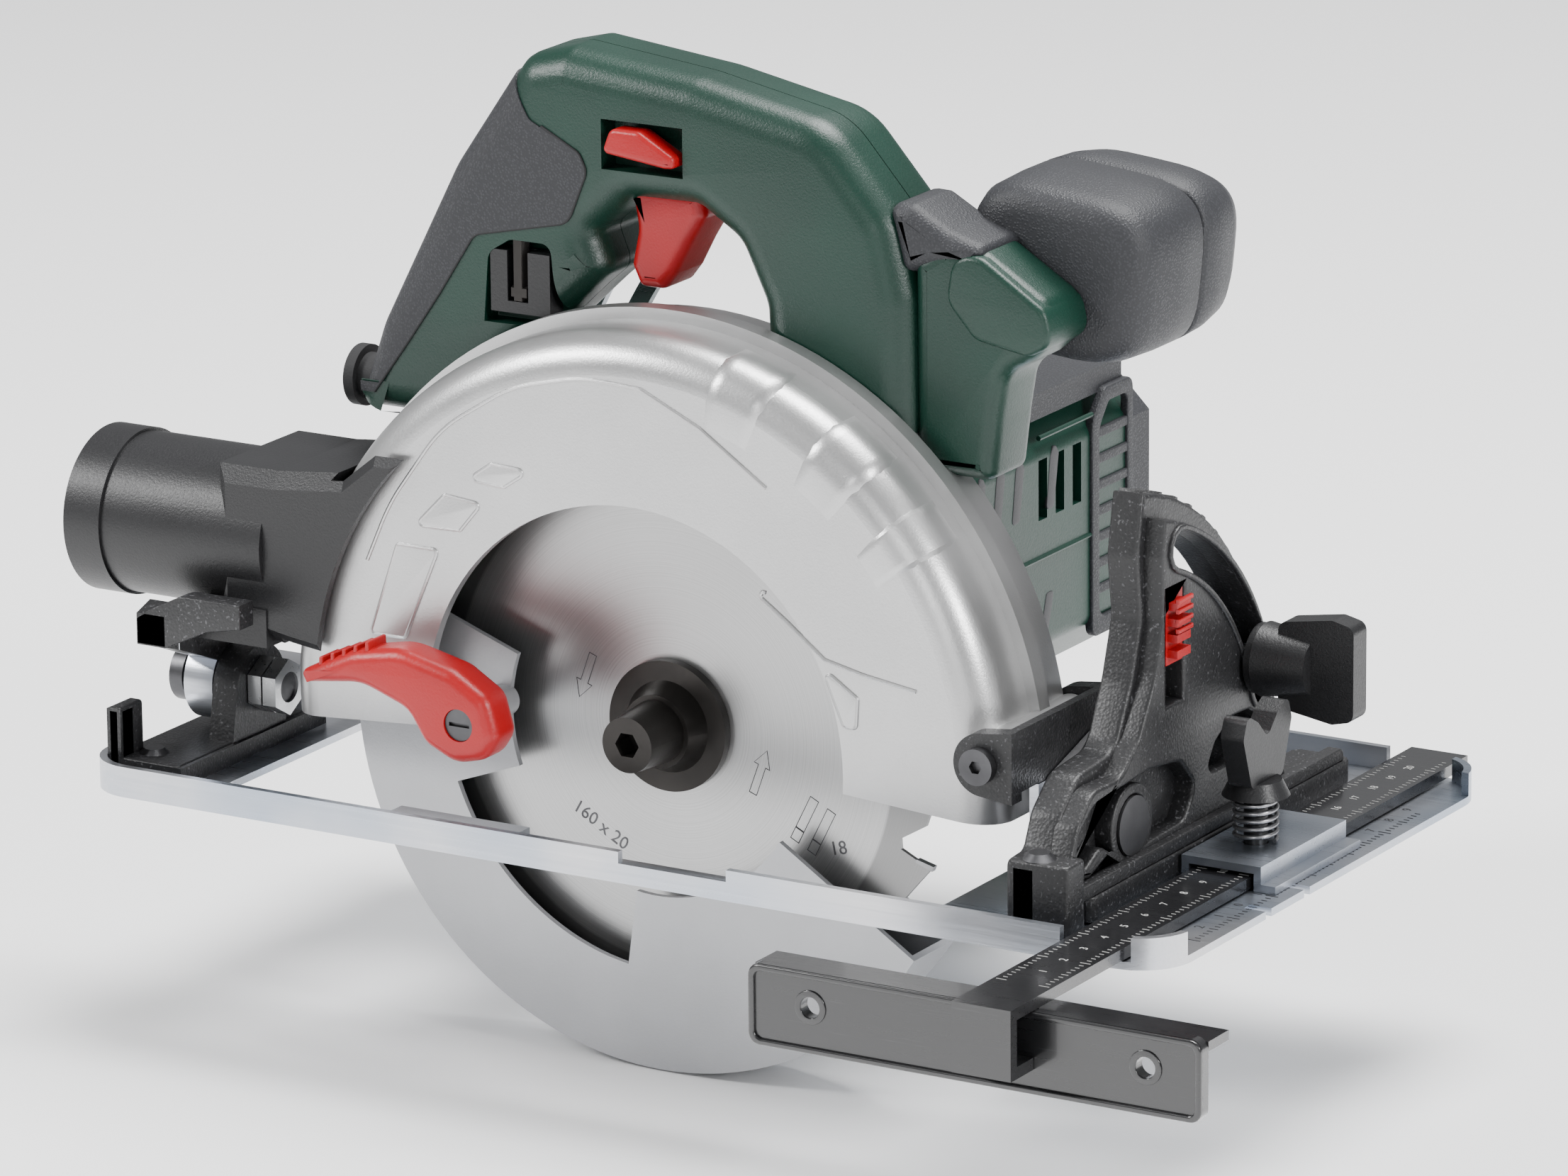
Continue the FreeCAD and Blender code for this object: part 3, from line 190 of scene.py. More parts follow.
def moulded_plastic(name, colour, shine=0.5, grain=0.00045, depth=0.00005):
    """Spark-textured moulding: a fine even grain with faint cloudiness."""
    shader = Shader(name, IOR=1.5)
    spot = shader.place()
    fine = shader.noise(spot, 1 / grain, 2.0, 0.6)
    broad = shader.noise(spot, 28.0, 3.0)
    shader.colour(shader.blend(shader.between(broad, 0.3, 0.7), tint(colour, 0.88), tint(colour, 1.12)))
    shader.roughness(shine + (broad - 0.5) * 0.10 + (fine - 0.5) * 0.18)
    shader.relief(fine, depth)
    return shader.material


def soft_grip(name, colour):
    """Rubbery over-moulding, dotted with a dense small pebble grain."""
    shader = Shader(name, IOR=1.45)
    spot = shader.place()
    pebbles = shader.cells(spot, 1 / 0.0007)
    broad = shader.noise(spot, 30.0, 2.0)
    crown = 1 - shader.between(pebbles, 0.10, 0.62)
    shader.colour(shader.blend(crown, tint(colour, 0.8), tint(colour, 1.2)))
    shader.roughness(0.56 + (broad - 0.5) * 0.12 - crown * 0.12)
    shader.relief(crown, 0.00007)
    return shader.material


def die_cast(name, colour, shine=0.36, metal=0.85):
    """Blasted and lacquered casting with slight cloudy staining."""
    shader = Shader(name, Metallic=metal, Coat_Weight=0.15, Coat_Roughness=0.3)
    spot = shader.place()
    fine = shader.noise(spot, 1 / 0.0006, 2.0, 0.65)
    broad = shader.noise(spot, 22.0, 4.0)
    shader.colour(shader.blend(shader.between(broad, 0.25, 0.75), tint(colour, 0.90), tint(colour, 1.06)))
    shader.roughness(shine + (broad - 0.5) * 0.12 + (fine - 0.5) * 0.14)
    shader.relief(fine, 0.00004)
    return shader.material


def rolled_zinc(name, colour):
    """Plated sheet with long rolling lines and a faint bluish cloud."""
    shader = Shader(name, Metallic=0.95)
    lines = shader.noise(shader.place((1, 60, 60)), 18.0, 4.0, 0.7)
    broad = shader.noise(shader.place(), 16.0, 3.0)
    cool = shader.blend(shader.between(broad, 0.3, 0.7), tint(colour, 0.92), tint((0.70, 0.69, 0.70)))
    shader.colour(shader.blend(lines * 0.35, cool, tint(colour, 0.7)))
    shader.roughness(0.30 + (lines - 0.5) * 0.20 + (broad - 0.5) * 0.10)
    shader.relief(lines, 0.00003)
    return shader.material


def grained_casting(name, colour):
    """Black casting under thick paint, with light flecks and a pebbled skin."""
    shader = Shader(name, IOR=1.5, Coat_Weight=0.1, Coat_Roughness=0.4)
    spot = shader.place()
    pebbles = shader.cells(spot, 1 / 0.0008)
    fleck = shader.noise(spot, 1 / 0.0009, 1.0)
    shader.colour(shader.blend(shader.between(fleck, 0.62, 0.74), tint(colour), tint((0.07, 0.07, 0.075))))
    shader.roughness(0.46 + (fleck - 0.5) * 0.25)
    shader.relief(pebbles, 0.00008)
    return shader.material


def gloss_paint(name, colour):
    """Smooth black enamel with a slight orange-peel and dust-fine scuffs."""
    shader = Shader(name, IOR=1.5, Coat_Weight=0.8, Coat_Roughness=0.12)
    spot = shader.place()
    peel = shader.noise(spot, 420.0, 1.0)
    scuff = shader.noise(shader.place((1, 30, 30)), 40.0, 3.0, 0.7)
    shader.colour(shader.blend(shader.between(scuff, 0.62, 0.8), tint(colour), tint((0.03, 0.03, 0.033))))
    shader.roughness(0.22 + scuff * 0.14)
    shader.relief(peel, 0.00002)
    return shader.material


def turned_steel(name, colour, shine=0.3, metal=0.95):
    """Small machined or plated steel parts, with a fine grain and slight staining."""
    shader = Shader(name, Metallic=metal)
    spot = shader.place()
    fine = shader.noise(spot, 900.0, 3.0, 0.7)
    broad = shader.noise(spot, 90.0, 2.0)
    shader.colour(shader.blend(shader.between(broad, 0.3, 0.8), tint(colour), tint(colour, 0.72)))
    shader.roughness(shine + (fine - 0.5) * 0.2)
    shader.relief(fine, 0.00002)
    return shader.material


def wound_wire(name, colour):
    """Laminated cores and copper, with fine lines across the stack."""
    shader = Shader(name, Metallic=0.8)
    lines = shader.noise(shader.place((2, 120, 2)), 20.0, 2.0)
    shader.colour(shader.blend(shader.between(lines, 0.4, 0.6), tint(colour, 0.7), tint(colour)))
    shader.roughness(0.4 + lines * 0.2)
    shader.relief(lines, 0.00006)
    return shader.material


def ground_blade(name, colour, body_radius):
    """Saw-blade steel: circular grinding rings, darker outside the body's radius."""
    shader = Shader(name, Metallic=0.96)
    spot = shader.place(shift=(-AXLE.x, 0, -AXLE.z))
    across = shader.axis(spot, "X")
    up = shader.axis(spot, "Z")
    radius = (across * across + up * up) ** 0.5
    ring_spot = shader.node("ShaderNodeCombineXYZ", inputs={"X": radius, "Y": 0.0, "Z": 0.0}, output="Vector")
    rings = shader.noise(ring_spot, 2600.0, 3.0, 0.8)
    broad = shader.noise(spot, 30.0, 2.0)
    rim = shader.between(radius, body_radius - 0.0006, body_radius + 0.0006)
    base = shader.blend(shader.between(rings, 0.3, 0.7), tint(colour, 0.80), tint(colour, 1.1))
    shader.colour(shader.blend(rim * 0.8, base, tint(colour, 0.42)))
    shader.roughness(0.28 + (rings - 0.5) * 0.25 + broad * 0.10)
    shader.relief(rings, 0.00002)
    return shader.material


# ---------------------------------------------------------------- shape helpers

PLANES = {
    "xz": lambda a, b, c: (a, c, b),
    "yz": lambda a, b, c: (c, a, b),
    "xy": lambda a, b, c: (a, b, c),
}
ARC_STEPS = 6


def rounded(corners):
    """Outline points of a polygon whose corners may carry a radius as a third number."""
    points = []
    count = len(corners)
    for index, corner in enumerate(corners):
        here = Vector(corner[:2])
        radius = corner[2] if len(corner) > 2 else 0
        if radius == 0:
            points.append(here)
            continue
        before = (Vector(corners[index - 1][:2]) - here).normalized()
        after = (Vector(corners[(index + 1) % count][:2]) - here).normalized()
        half = before.angle(after) / 2
        reach = radius / math.tan(half)
        centre = here + (before + after).normalized() * radius / math.sin(half)
        first = here + before * reach - centre
        last = here + after * reach - centre
        swing = first.angle_signed(last)
        for step in range(ARC_STEPS + 1):
            turned = first.copy()
            turned.rotate(Matrix.Rotation(-swing * step / ARC_STEPS, 2))
            points.append(centre + turned)
    return points


def link(context, name, mesh):
    made = bpy.data.objects.new(name, mesh)
    context.collection.objects.link(made)
    return made


def circle(across, up, radius, steps=32):
    turns = [2 * math.pi * step / steps for step in range(steps)]
    return [(across + radius * math.cos(turn), up + radius * math.sin(turn)) for turn in turns]


def arc(across, up, radius, first, last, steps=16):
    turns = [math.radians(first + (last - first) * step / steps) for step in range(steps + 1)]
    return [(across + radius * math.cos(turn), up + radius * math.sin(turn)) for turn in turns]


def tidy_mesh(mesh, sharp=38.0):
    """Merges the doubles, turns the faces outwards and shades all but the sharp edges smooth."""
    body = bmesh.new()
    body.from_mesh(mesh)
    bmesh.ops.remove_doubles(body, verts=body.verts, dist=0.000004)
    bmesh.ops.dissolve_degenerate(body, edges=body.edges, dist=0.000002)
    bmesh.ops.recalc_face_normals(body, faces=body.faces)
    body.to_mesh(mesh)
    body.free()
    for face in mesh.polygons:
        face.use_smooth = True
    mesh.set_sharp_from_angle(angle=math.radians(sharp))
    return mesh


def baked(context, maker):
    """The mesh of an object with its modifiers applied; the object itself is removed."""
    context.view_layer.update()
    graph = context.evaluated_depsgraph_get()
    mesh = bpy.data.meshes.new_from_object(maker.evaluated_get(graph), depsgraph=graph)
    bpy.data.objects.remove(maker)
    return mesh


def slab(context, outlines, plane, low, high, edge=0.6, steps=3, grow=0.0):
    """A solid with rounded edges between two parallel planes, in millimetres; later outlines are holes."""
    curve = bpy.data.curves.new("outline", "CURVE")
    curve.dimensions = "2D"
    curve.fill_mode = "BOTH"
    curve.extrude = (high - low) / 2 - edge
    curve.bevel_depth = edge
    curve.bevel_resolution = steps
    curve.offset = grow - edge
    for corners in outlines:
        points = rounded(corners)
        spline = curve.splines.new("POLY")
        spline.points.add(len(points) - 1)
        for made, point in zip(spline.points, points):
            made.co = (point[0], point[1], 0, 1)
        spline.use_cyclic_u = True
    mesh = baked(context, link(context, "outline", curve))
    middle = (high + low) / 2
    for vertex in mesh.vertices:
        a, b, c = vertex.co
        vertex.co = Vector(PLANES[plane](a, b, c + middle)) * MM
    return tidy_mesh(mesh)


def loft(rings, sharp=38.0):
    """A closed skin over rings of points in metres, its ends filled."""
    body = bmesh.new()
    rows = [[body.verts.new(point) for point in ring] for ring in rings]
    count = len(rows[0])
    for first, second in zip(rows, rows[1:]):
        for index in range(count):
            after = (index + 1) % count
            body.faces.new((first[index], first[after], second[after], second[index]))
    body.faces.new(rows[0][::-1])
    body.faces.new(rows[-1])
    mesh = bpy.data.meshes.new("loft")
    body.to_mesh(mesh)
    body.free()
    return tidy_mesh(mesh, sharp)


def squircle(centre, half_width, half_height, power, along, plane, steps=44, turn=0.0):
    """A ring between an ellipse and a rectangle, in millimetres."""
    ring = []
    for step in range(steps):
        angle = 2 * math.pi * step / steps
        across = math.copysign(abs(math.cos(angle)) ** (2 / power), math.cos(angle)) * half_width
        up = math.copysign(abs(math.sin(angle)) ** (2 / power), math.sin(angle)) * half_height
        a = centre[0] + across * math.cos(turn) - up * math.sin(turn)
        b = centre[1] + across * math.sin(turn) + up * math.cos(turn)
        ring.append(Vector(PLANES[plane](a, b, along)) * MM)
    return ring


def joined(meshes):
    """Several meshes as one."""
    body = bmesh.new()
    for mesh in meshes:
        body.from_mesh(mesh)
        bpy.data.meshes.remove(mesh)
    mesh = bpy.data.meshes.new("joined")
    body.to_mesh(mesh)
    body.free()
    for face in mesh.polygons:
        face.use_smooth = True
    mesh.set_sharp_from_angle(angle=math.radians(38))
    return mesh


def combine(context, mesh, tool, operation):
    """The mesh cut by, or kept only inside, another closed mesh."""
    blank = link(context, "blank", mesh)
    cutter = link(context, "cutter", tool)
    step = blank.modifiers.new("combine", "BOOLEAN")
    step.operation = operation
    step.solver = "EXACT"
    step.object = cutter
    step.use_self = True
    result = baked(context, blank)
    bpy.data.objects.remove(cutter)
    return tidy_mesh(result)


def box_mesh(low, high):
    """A plain block used as a cutter, in millimetres."""
    body = bmesh.new()
    bmesh.ops.create_cube(body, size=1.0)
    for vertex in body.verts:
        vertex.co = Vector([
            (low[i] if vertex.co[i] < 0 else high[i]) * MM for i in range(3)])
    mesh = bpy.data.meshes.new("block")
    body.to_mesh(mesh)
    body.free()
    return mesh


FINISHES = {}


def finish(slot):
    """The material of a slot, made the first time that it is asked for."""
    if not FINISHES:
        FINISHES.update(make_finishes(bpy.context.scene.saw_finish))
    return FINISHES[slot]


def piece(context, name, mesh, slot, body, replaces=()):
    """Puts a finished mesh on its body."""
    mesh.name = name
    mesh.materials.clear()
    mesh.materials.append(finish(slot))
    for face in mesh.polygons:
        face.material_index = 0
    made = link(context, name, mesh)
    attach(made, body)
    if replaces:
        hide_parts(*replaces)
    return made


# ---------------------------------------------------------------- geometry node helpers


def new_tree(name, **sizes):
    """An empty geometry tree with a Geometry input and named lengths."""
    tree = bpy.data.node_groups.new(name, "GeometryNodeTree")
    tree.interface.new_socket("Geometry", in_out="INPUT", socket_type="NodeSocketGeometry")
    for label, value in sizes.items():
        shown = label.replace("_", " ")
        socket = tree.interface.new_socket(shown, in_out="INPUT", socket_type="NodeSocketFloat")
        socket.default_value = value
    tree.interface.new_socket("Geometry", in_out="OUTPUT", socket_type="NodeSocketGeometry")
    return tree, tree.nodes.new("NodeGroupInput"), tree.nodes.new("NodeGroupOutput")


def finish_tree(tree, last, group_out, slot):
    """Ends a tree in Realize Instances and Set Material."""
    real = tree.nodes.new("GeometryNodeRealizeInstances")
    paint = tree.nodes.new("GeometryNodeSetMaterial")
    paint.inputs["Material"].default_value = finish(slot)
    tree.links.new(last, real.inputs["Geometry"])
    tree.links.new(real.outputs["Geometry"], paint.inputs["Geometry"])
    tree.links.new(paint.outputs["Geometry"], group_out.inputs["Geometry"])


def run_tree(context, tree, data, **sizes):
    """Runs a tree on a curve or mesh and returns the plain mesh."""
    maker = link(context, "maker", data)
    step = maker.modifiers.new("tree", "NODES")
    step.node_group = tree
    for item in tree.interface.items_tree:
        label = item.name.replace(" ", "_")
        if item.in_out == "INPUT" and label in sizes:
            step[item.identifier] = sizes[label]
    return tidy_mesh(baked(context, maker))


def raised_line_tree(slot):
    """Lays a round bead along every line it is given."""
    tree, group_in, group_out = new_tree("raised_line_" + slot, Bead_radius=0.0005)
    bead = tree.nodes.new("GeometryNodeCurvePrimitiveCircle")
    bead.inputs["Resolution"].default_value = 8
    sweep = tree.nodes.new("GeometryNodeCurveToMesh")
    sweep.inputs["Fill Caps"].default_value = True
    tree.links.new(group_in.outputs["Bead radius"], bead.inputs["Radius"])
    tree.links.new(group_in.outputs["Geometry"], sweep.inputs["Curve"])
    tree.links.new(bead.outputs["Curve"], sweep.inputs["Profile Curve"])
    finish_tree(tree, sweep.outputs["Mesh"], group_out, slot)
    return tree


def raised_lines(context, lines, plane, level, slot, radius):
    """Beads along lines of (across, up) points on a plane; a line is (closed, points)."""
    curve = bpy.data.curves.new("lines", "CURVE")
    curve.dimensions = "3D"
    for closed, corners in lines:
        points = rounded(corners)
        spline = curve.splines.new("POLY")
        spline.points.add(len(points) - 1)
        for made, point in zip(spline.points, points):
            made.co = (*(Vector(PLANES[plane](point[0], point[1], level)) * MM), 1)
        spline.use_cyclic_u = closed
    return run_tree(context, raised_line_tree(slot), curve, Bead_radius=radius * MM)


def tick_tree(slot):
    """Stands a thin bar on every point, longer at each fifth and tenth."""
    tree, group_in, group_out = new_tree(
        "tick_row_" + slot, Bar_width=0.0003, Bar_height=0.00006, Bar_length=0.002)
    index = tree.nodes.new("GeometryNodeInputIndex")
    scale = tree.nodes.new("ShaderNodeCombineXYZ")
    length = None
    for step, extra in ((5, 0.6), (10, 0.7)):
        rest = tree.nodes.new("FunctionNodeIntegerMath")
        rest.operation = "MODULO"
        rest.inputs[1].default_value = step
        same = tree.nodes.new("FunctionNodeCompare")
        same.data_type = "INT"
        same.operation = "EQUAL"
        more = tree.nodes.new("ShaderNodeMath")
        more.operation = "MULTIPLY_ADD"
        more.inputs[1].default_value = extra
        more.inputs[2].default_value = 1.0
        tree.links.new(index.outputs[0], rest.inputs[0])
        tree.links.new(rest.outputs[0], same.inputs[2])
        tree.links.new(same.outputs[0], more.inputs[0])
        if length:
            tree.links.new(length, more.inputs[2])
        length = more.outputs[0]
    bar = tree.nodes.new("GeometryNodeMeshCube")
    size = tree.nodes.new("ShaderNodeCombineXYZ")
    for axis, label in (("X", "Bar length"), ("Y", "Bar width"), ("Z", "Bar height")):
        tree.links.new(group_in.outputs[label], size.inputs[axis])
    scale.inputs["Y"].default_value = 1.0
    scale.inputs["Z"].default_value = 1.0
    tree.links.new(length, scale.inputs["X"])
    row = tree.nodes.new("GeometryNodeInstanceOnPoints")
    tree.links.new(size.outputs[0], bar.inputs["Size"])
    tree.links.new(group_in.outputs["Geometry"], row.inputs["Points"])
    tree.links.new(bar.outputs["Mesh"], row.inputs["Instance"])
    tree.links.new(scale.outputs[0], row.inputs["Scale"])
    finish_tree(tree, row.outputs["Instances"], group_out, slot)
    return tree


def tick_row(context, first, step, count, slot, length, width=0.3):
    """Ticks at even steps from the first point, in millimetres."""
    mesh = bpy.data.meshes.new("ticks")
    mesh.from_pydata([(Vector(first) + Vector(step) * index) * MM for index in range(count)], [], [])
    return run_tree(
        context, tick_tree(slot), mesh, Bar_length=length * MM, Bar_width=width * MM, Bar_height=0.12 * MM)


def numeral(context, text, height, spot, plane, turn=0.0, thickness=0.12):
    """Raised figures, centred on a spot, in millimetres."""
    font = bpy.data.curves.new("figures", "FONT")
    font.body = text
    font.size = height * 1.4
    font.extrude = thickness / 2
    font.resolution_u = 3
    font.align_x = "CENTER"
    font.align_y = "CENTER"
    mesh = baked(context, link(context, "figures", font))
    swing = Matrix.Rotation(turn, 2)
    for vertex in mesh.vertices:
        flat = swing @ Vector(vertex.co[:2])
        a, b, c = PLANES[plane](flat[0], flat[1], vertex.co[2])
        vertex.co = (Vector(spot) + Vector((a, b, c))) * MM
    return tidy_mesh(mesh)


# ---------------------------------------------------------------- handle

HANDLE = [
    (-99, 93, 2), (-91, 116, 30), (-68, 160, 40), (-47, 190, 9), (-34, 193.2, 6), (3, 189, 30),
    (41, 181.5, 20), (60, 160, 16), (65, 140, 20), (66, 93, 3)]
GRIP_GAP = [(-44, 118), (-30, 131, 4), (-23, 137, 4), (-27, 147, 3), (-16, 156.5, 5), (3, 156.8, 8),
            (15, 149, 10), (22, 134, 10), (23, 118)]
GRIP_PATCH = [(-120, 96), (-91.5, 98.5), (-80.5, 113.5), (-71, 127, 20), (-60.5, 143.2, 5), (-32.5, 149.2, 5),
              (-26.8, 163, 4), (-29, 167.5, 3), (-43.5, 174.6, 3), (-49, 184), (-70, 200), (-120, 150)]
HANDLE_SIDES = (5.5, 36.9)
SEAM = 20.5


def handle_blank(context, grow=0.0):
    """The whole handle, hollowed where the upper guard sits in it."""
    low, high = HANDLE_SIDES
    whole = slab(context, [HANDLE, GRIP_GAP], "xz", low - grow, high + grow, 8.5, 6, grow)
    guard = slab(context, [circle(0, 25, 103.7, 96)], "xz", -30, 17.4, 0.1)
    return combine(context, whole, guard, "DIFFERENCE")


class SAW_OT_handle(bpy.types.Operator):
    """Two handle shells, their seam, the soft grip and the pocket for the key"""

    bl_idname = "saw.handle"
    bl_label = "Handle"

    def execute(self, context):
        lock_gap = box_mesh((-22.5, 0, 164.2), (1.2, 12.4, 177))
        key_gap = slab(context, [[(-58, 121), (-56.5, 139, 4), (-50, 143, 3), (-38, 143, 3), (-36, 121)]],
                       "xz", -2, 11.9, 0.4)
        for side, replaced, low, high in (
                ("right", "handle_shell_right", -9, SEAM - 0.15),
                ("left", "handle_shell_left", SEAM + 0.15, 60)):
            shell = combine(
                context, handle_blank(context), box_mesh((-150, low, 60), (110, high, 230)), "INTERSECT")
            if side == "right":
                shell = combine(context, shell, lock_gap, "DIFFERENCE")
                shell = combine(context, shell, key_gap, "DIFFERENCE")
            piece(context, "handle_" + side, shell, "green_plastic", "saw_head", (replaced,))
        seam = combine(
            context, handle_blank(context, -0.25), box_mesh((-150, SEAM - 0.2, 60), (110, SEAM + 0.2, 230)),
            "INTERSECT")
        piece(context, "handle_seam", seam, "black_rubber", "saw_head")
        patch = slab(context, [GRIP_PATCH], "xz", -10, 55, 0.5)
        grip = combine(context, handle_blank(context, 0.45), patch, "INTERSECT")
        piece(context, "soft_grip", grip, "grip_rubber", "saw_head", ("rear_grip_pad",))
        edge = [(False, [(-91.5, 98.5), (-80.5, 113.5), (-71, 127, 20), (-60.5, 143.2, 5), (-32.5, 149.2, 5),
                         (-26.8, 163, 4), (-29, 167.5, 3), (-40, 173.2)])]
        line = raised_lines(context, edge, "xz", 5.35, "black_rubber", 0.35)
        piece(context, "grip_edge", line, "black_rubber", "saw_head")
        return {"FINISHED"}


class SAW_OT_front_grip(bpy.types.Operator):
    """Two-part front knob with its seam, and the neck with its boss and soft pad"""

    bl_idname = "saw.front_grip"
    bl_label = "Front grip"

    def execute(self, context):
        centre = (92.3, 145.2)
        inner = [(28.1, 17, 14.5), (28.8, 21, 18), (31, 24, 20.3), (36, 25.6, 21.3), (48, 26.2, 21.7),
                 (58.6, 26.2, 21.7), (59.6, 25.4, 21)]
        outer = [(60.3, 25.4, 21), (61.3, 26.2, 21.7), (70, 25.8, 21.4), (78, 24.6, 20.2), (84, 22, 17.8),
                 (87, 18, 14.2), (87.9, 13, 10)]
        for name, node, profile in (
                ("knob_inner", "front_handle_inner", inner), ("knob_outer", "front_handle_outer", outer)):
            rings = [squircle(centre, wide, tall, 3.6, y, "xz", 56, -0.10) for y, wide, tall in profile]
            piece(context, name, loft(rings, 50), "grip_rubber", "saw_head", (node,))
        seam = [squircle(centre, 25.2, 20.8, 3.6, y, "xz", 56, -0.10) for y in (59.3, 60.6)]
        piece(context, "knob_seam", loft(seam), "black_rubber", "saw_head")
        neck = slab(context, [[
            (64, 96, 3), (64, 150, 4), (73, 156, 4), (84, 153.5, 5), (101, 143, 6), (103.5, 134, 5),
            (97, 128, 5), (90, 124, 8), (88, 112, 8), (86, 96, 3)]], "xz", 9.6, 30.5, 4.5, 5)
        piece(context, "neck", neck, "green_plastic", "saw_head", ("front_handle_neck",))
        boss = slab(context, [[
            (74, 141, 6), (76, 153.5, 6), (84, 153, 6), (102, 141.5, 5), (104, 133, 5), (97, 129.5, 5),
            (82, 132, 6)]], "xz", 8.6, 29, 1.6, 4)
        piece(context, "neck_boss", boss, "green_plastic", "saw_head")
        pad = slab(context, [[
            (56.5, 163.8, 3), (64, 163.6, 3), (74, 158, 2), (85, 154.8, 2), (81, 150, 3), (70, 148.5, 4),
            (61, 145.6, 3)]], "xz", 9.2, 33, 4.2, 4)
        piece(context, "neck_soft_pad", pad, "grip_rubber", "saw_head", ("neck_pad",))
        return {"FINISHED"}


# ---------------------------------------------------------------- upper guard

GUARD_FACE = -20.0
FACE_PANELS = [
    (True, [(-47.3, 87, 1), (-40.2, 91.9, 1), (-29.3, 91.3, 1), (-36.8, 86.3, 1)]),
    (True, [(-63.3, 73, 1), (-54.4, 82, 1), (-43.5, 81, 1), (-49.9, 73.4, 1)]),
    (True, [(-77.3, 43, 1), (-68.8, 67.4, 1), (-56.6, 67.4, 1), (-67.1, 43, 1)]),
    (True, [(55.4, 52.4, 1), (65.4, 45.8, 1), (64.9, 38.2, 1), (61.5, 38, 1)]),
]
FACE_LINES = [
    (False, [(-78, 62), (-70.9, 77.8, 60), (-55.2, 99.2, 40), (-34, 112.5, 40), (-13.2, 117.5, 40),
             (3.9, 116.6, 3), (20.8, 108.8, 10), (39.8, 96)]),
    (False, [(29.3, 73.9, 1), (45, 63, 4), (56.1, 54.5, 2), (67.2, 52.1, 6), (82, 50)]),
]
SHOULDER_STEPS = ((66.5, 76.5), (48.0, 58.0), (34.5, 42.0))


class SAW_OT_guard_relief(bpy.types.Operator):
    """Raised lines, panels and shoulder steps cast into the upper guard"""

    bl_idname = "saw.guard_relief"
    bl_label = "Guard relief"

    def execute(self, context):
        beads = raised_lines(context, FACE_PANELS + FACE_LINES, "xz", GUARD_FACE + 0.05, "cast_silver", 0.55)
        piece(context, "guard_beads", beads, "cast_silver", "saw_head")
        pads = [slab(context, [corners], "xz", GUARD_FACE - 0.35, GUARD_FACE + 0.6, 0.3)
                for _, corners in FACE_PANELS]
        piece(context, "guard_panels", joined(pads), "cast_silver", "saw_head")
        steps = [self.step(first, last) for first, last in SHOULDER_STEPS]
        piece(context, "guard_steps", joined(steps), "cast_silver", "saw_head")
        return {"FINISHED"}

    @staticmethod
    def step(first, last):
        """One raised patch that follows the guard's rounded shoulder."""
        shoulder = [
            (82, -20.0), (94, -20.0), (98.5, -19.2), (101.8, -16.6), (103.6, -13.6), (104, -10), (104, -1)]
        rings = []
        count = 8
        for index in range(count + 1):
            turn = math.radians(first + (last - first) * index / count)
            lift = 0.9 if 0 < index < count else -0.6
            ring = []
            for place, (radius, level) in enumerate(shoulder):
                ends = -0.6 if place in (0, len(shoulder) - 1) else lift
                out = Vector((0.0, -1.0)) if radius <= 94 else Vector((radius - 94, level + 10)).normalized()
                spot = Vector((radius, level)) + out * ends
                ring.append(AXLE + Vector((spot.x * math.cos(turn), spot.y, spot.x * math.sin(turn))) * MM)
            inner = AXLE + Vector((90 * math.cos(turn), -12, 90 * math.sin(turn))) * MM
            ring.append(inner)
            rings.append(ring)
        return loft(rings, 30)


# ---------------------------------------------------------------- blade


class SAW_OT_blade_marks(bpy.types.Operator):
    """Direction arrows, outlined boxes and figures printed on the blade"""

    bl_idname = "saw.blade_marks"
    bl_label = "Blade marks"

    def execute(self, context):
        level = frame_low("saw_blade", 1) - 0.03
        lines = []
        for turn in (-20, 160):
            corners = [(-1.1, -6), (1.1, -6), (1.1, 2), (2.4, 2), (0, 6.5), (-2.4, 2), (-1.1, 2)]
            lines.append((True, [around(27, turn, across, up) for across, up in corners]))
        for across in (43, 48.5):
            for low, high in ((-6.5, -3.2), (-3, 6.5)):
                corners = [(-1.3, low), (1.3, low), (1.3, high), (-1.3, high)]
                lines.append((True, [around(across, -27, a, b) for a, b in corners]))
        marks = raised_lines(context, lines, "xz", level, "dark_steel", 0.13)
        piece(context, "blade_arrows", marks, "dark_steel", "blade")
        figures = []
        for text, radius, turn, lean in (("160 x 20", 37, 234, -30), ("18", 54.5, -28, 12)):
            spot = around(radius, turn, 0, 0)
            figures.append(numeral(
                context, text, 3.6, (spot[0], level, spot[1]), "xz", math.radians(lean), 0.16))
        piece(context, "blade_figures", joined(figures), "dark_steel", "blade")
        return {"FINISHED"}


def frame_low(node, axis):
    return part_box(node)[0][axis] / MM


def frame_high(node, axis):
    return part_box(node)[1][axis] / MM


def around(radius, turn, across, up):
    """A point given by its radius and angle about the axle, shifted across and along the circle."""
    angle = math.radians(turn)
    out = radius + across
    return (
        AXLE.x / MM + out * math.cos(angle) - up * math.sin(angle),
        AXLE.z / MM + out * math.sin(angle) + up * math.cos(angle))


# ---------------------------------------------------------------- bevel bracket

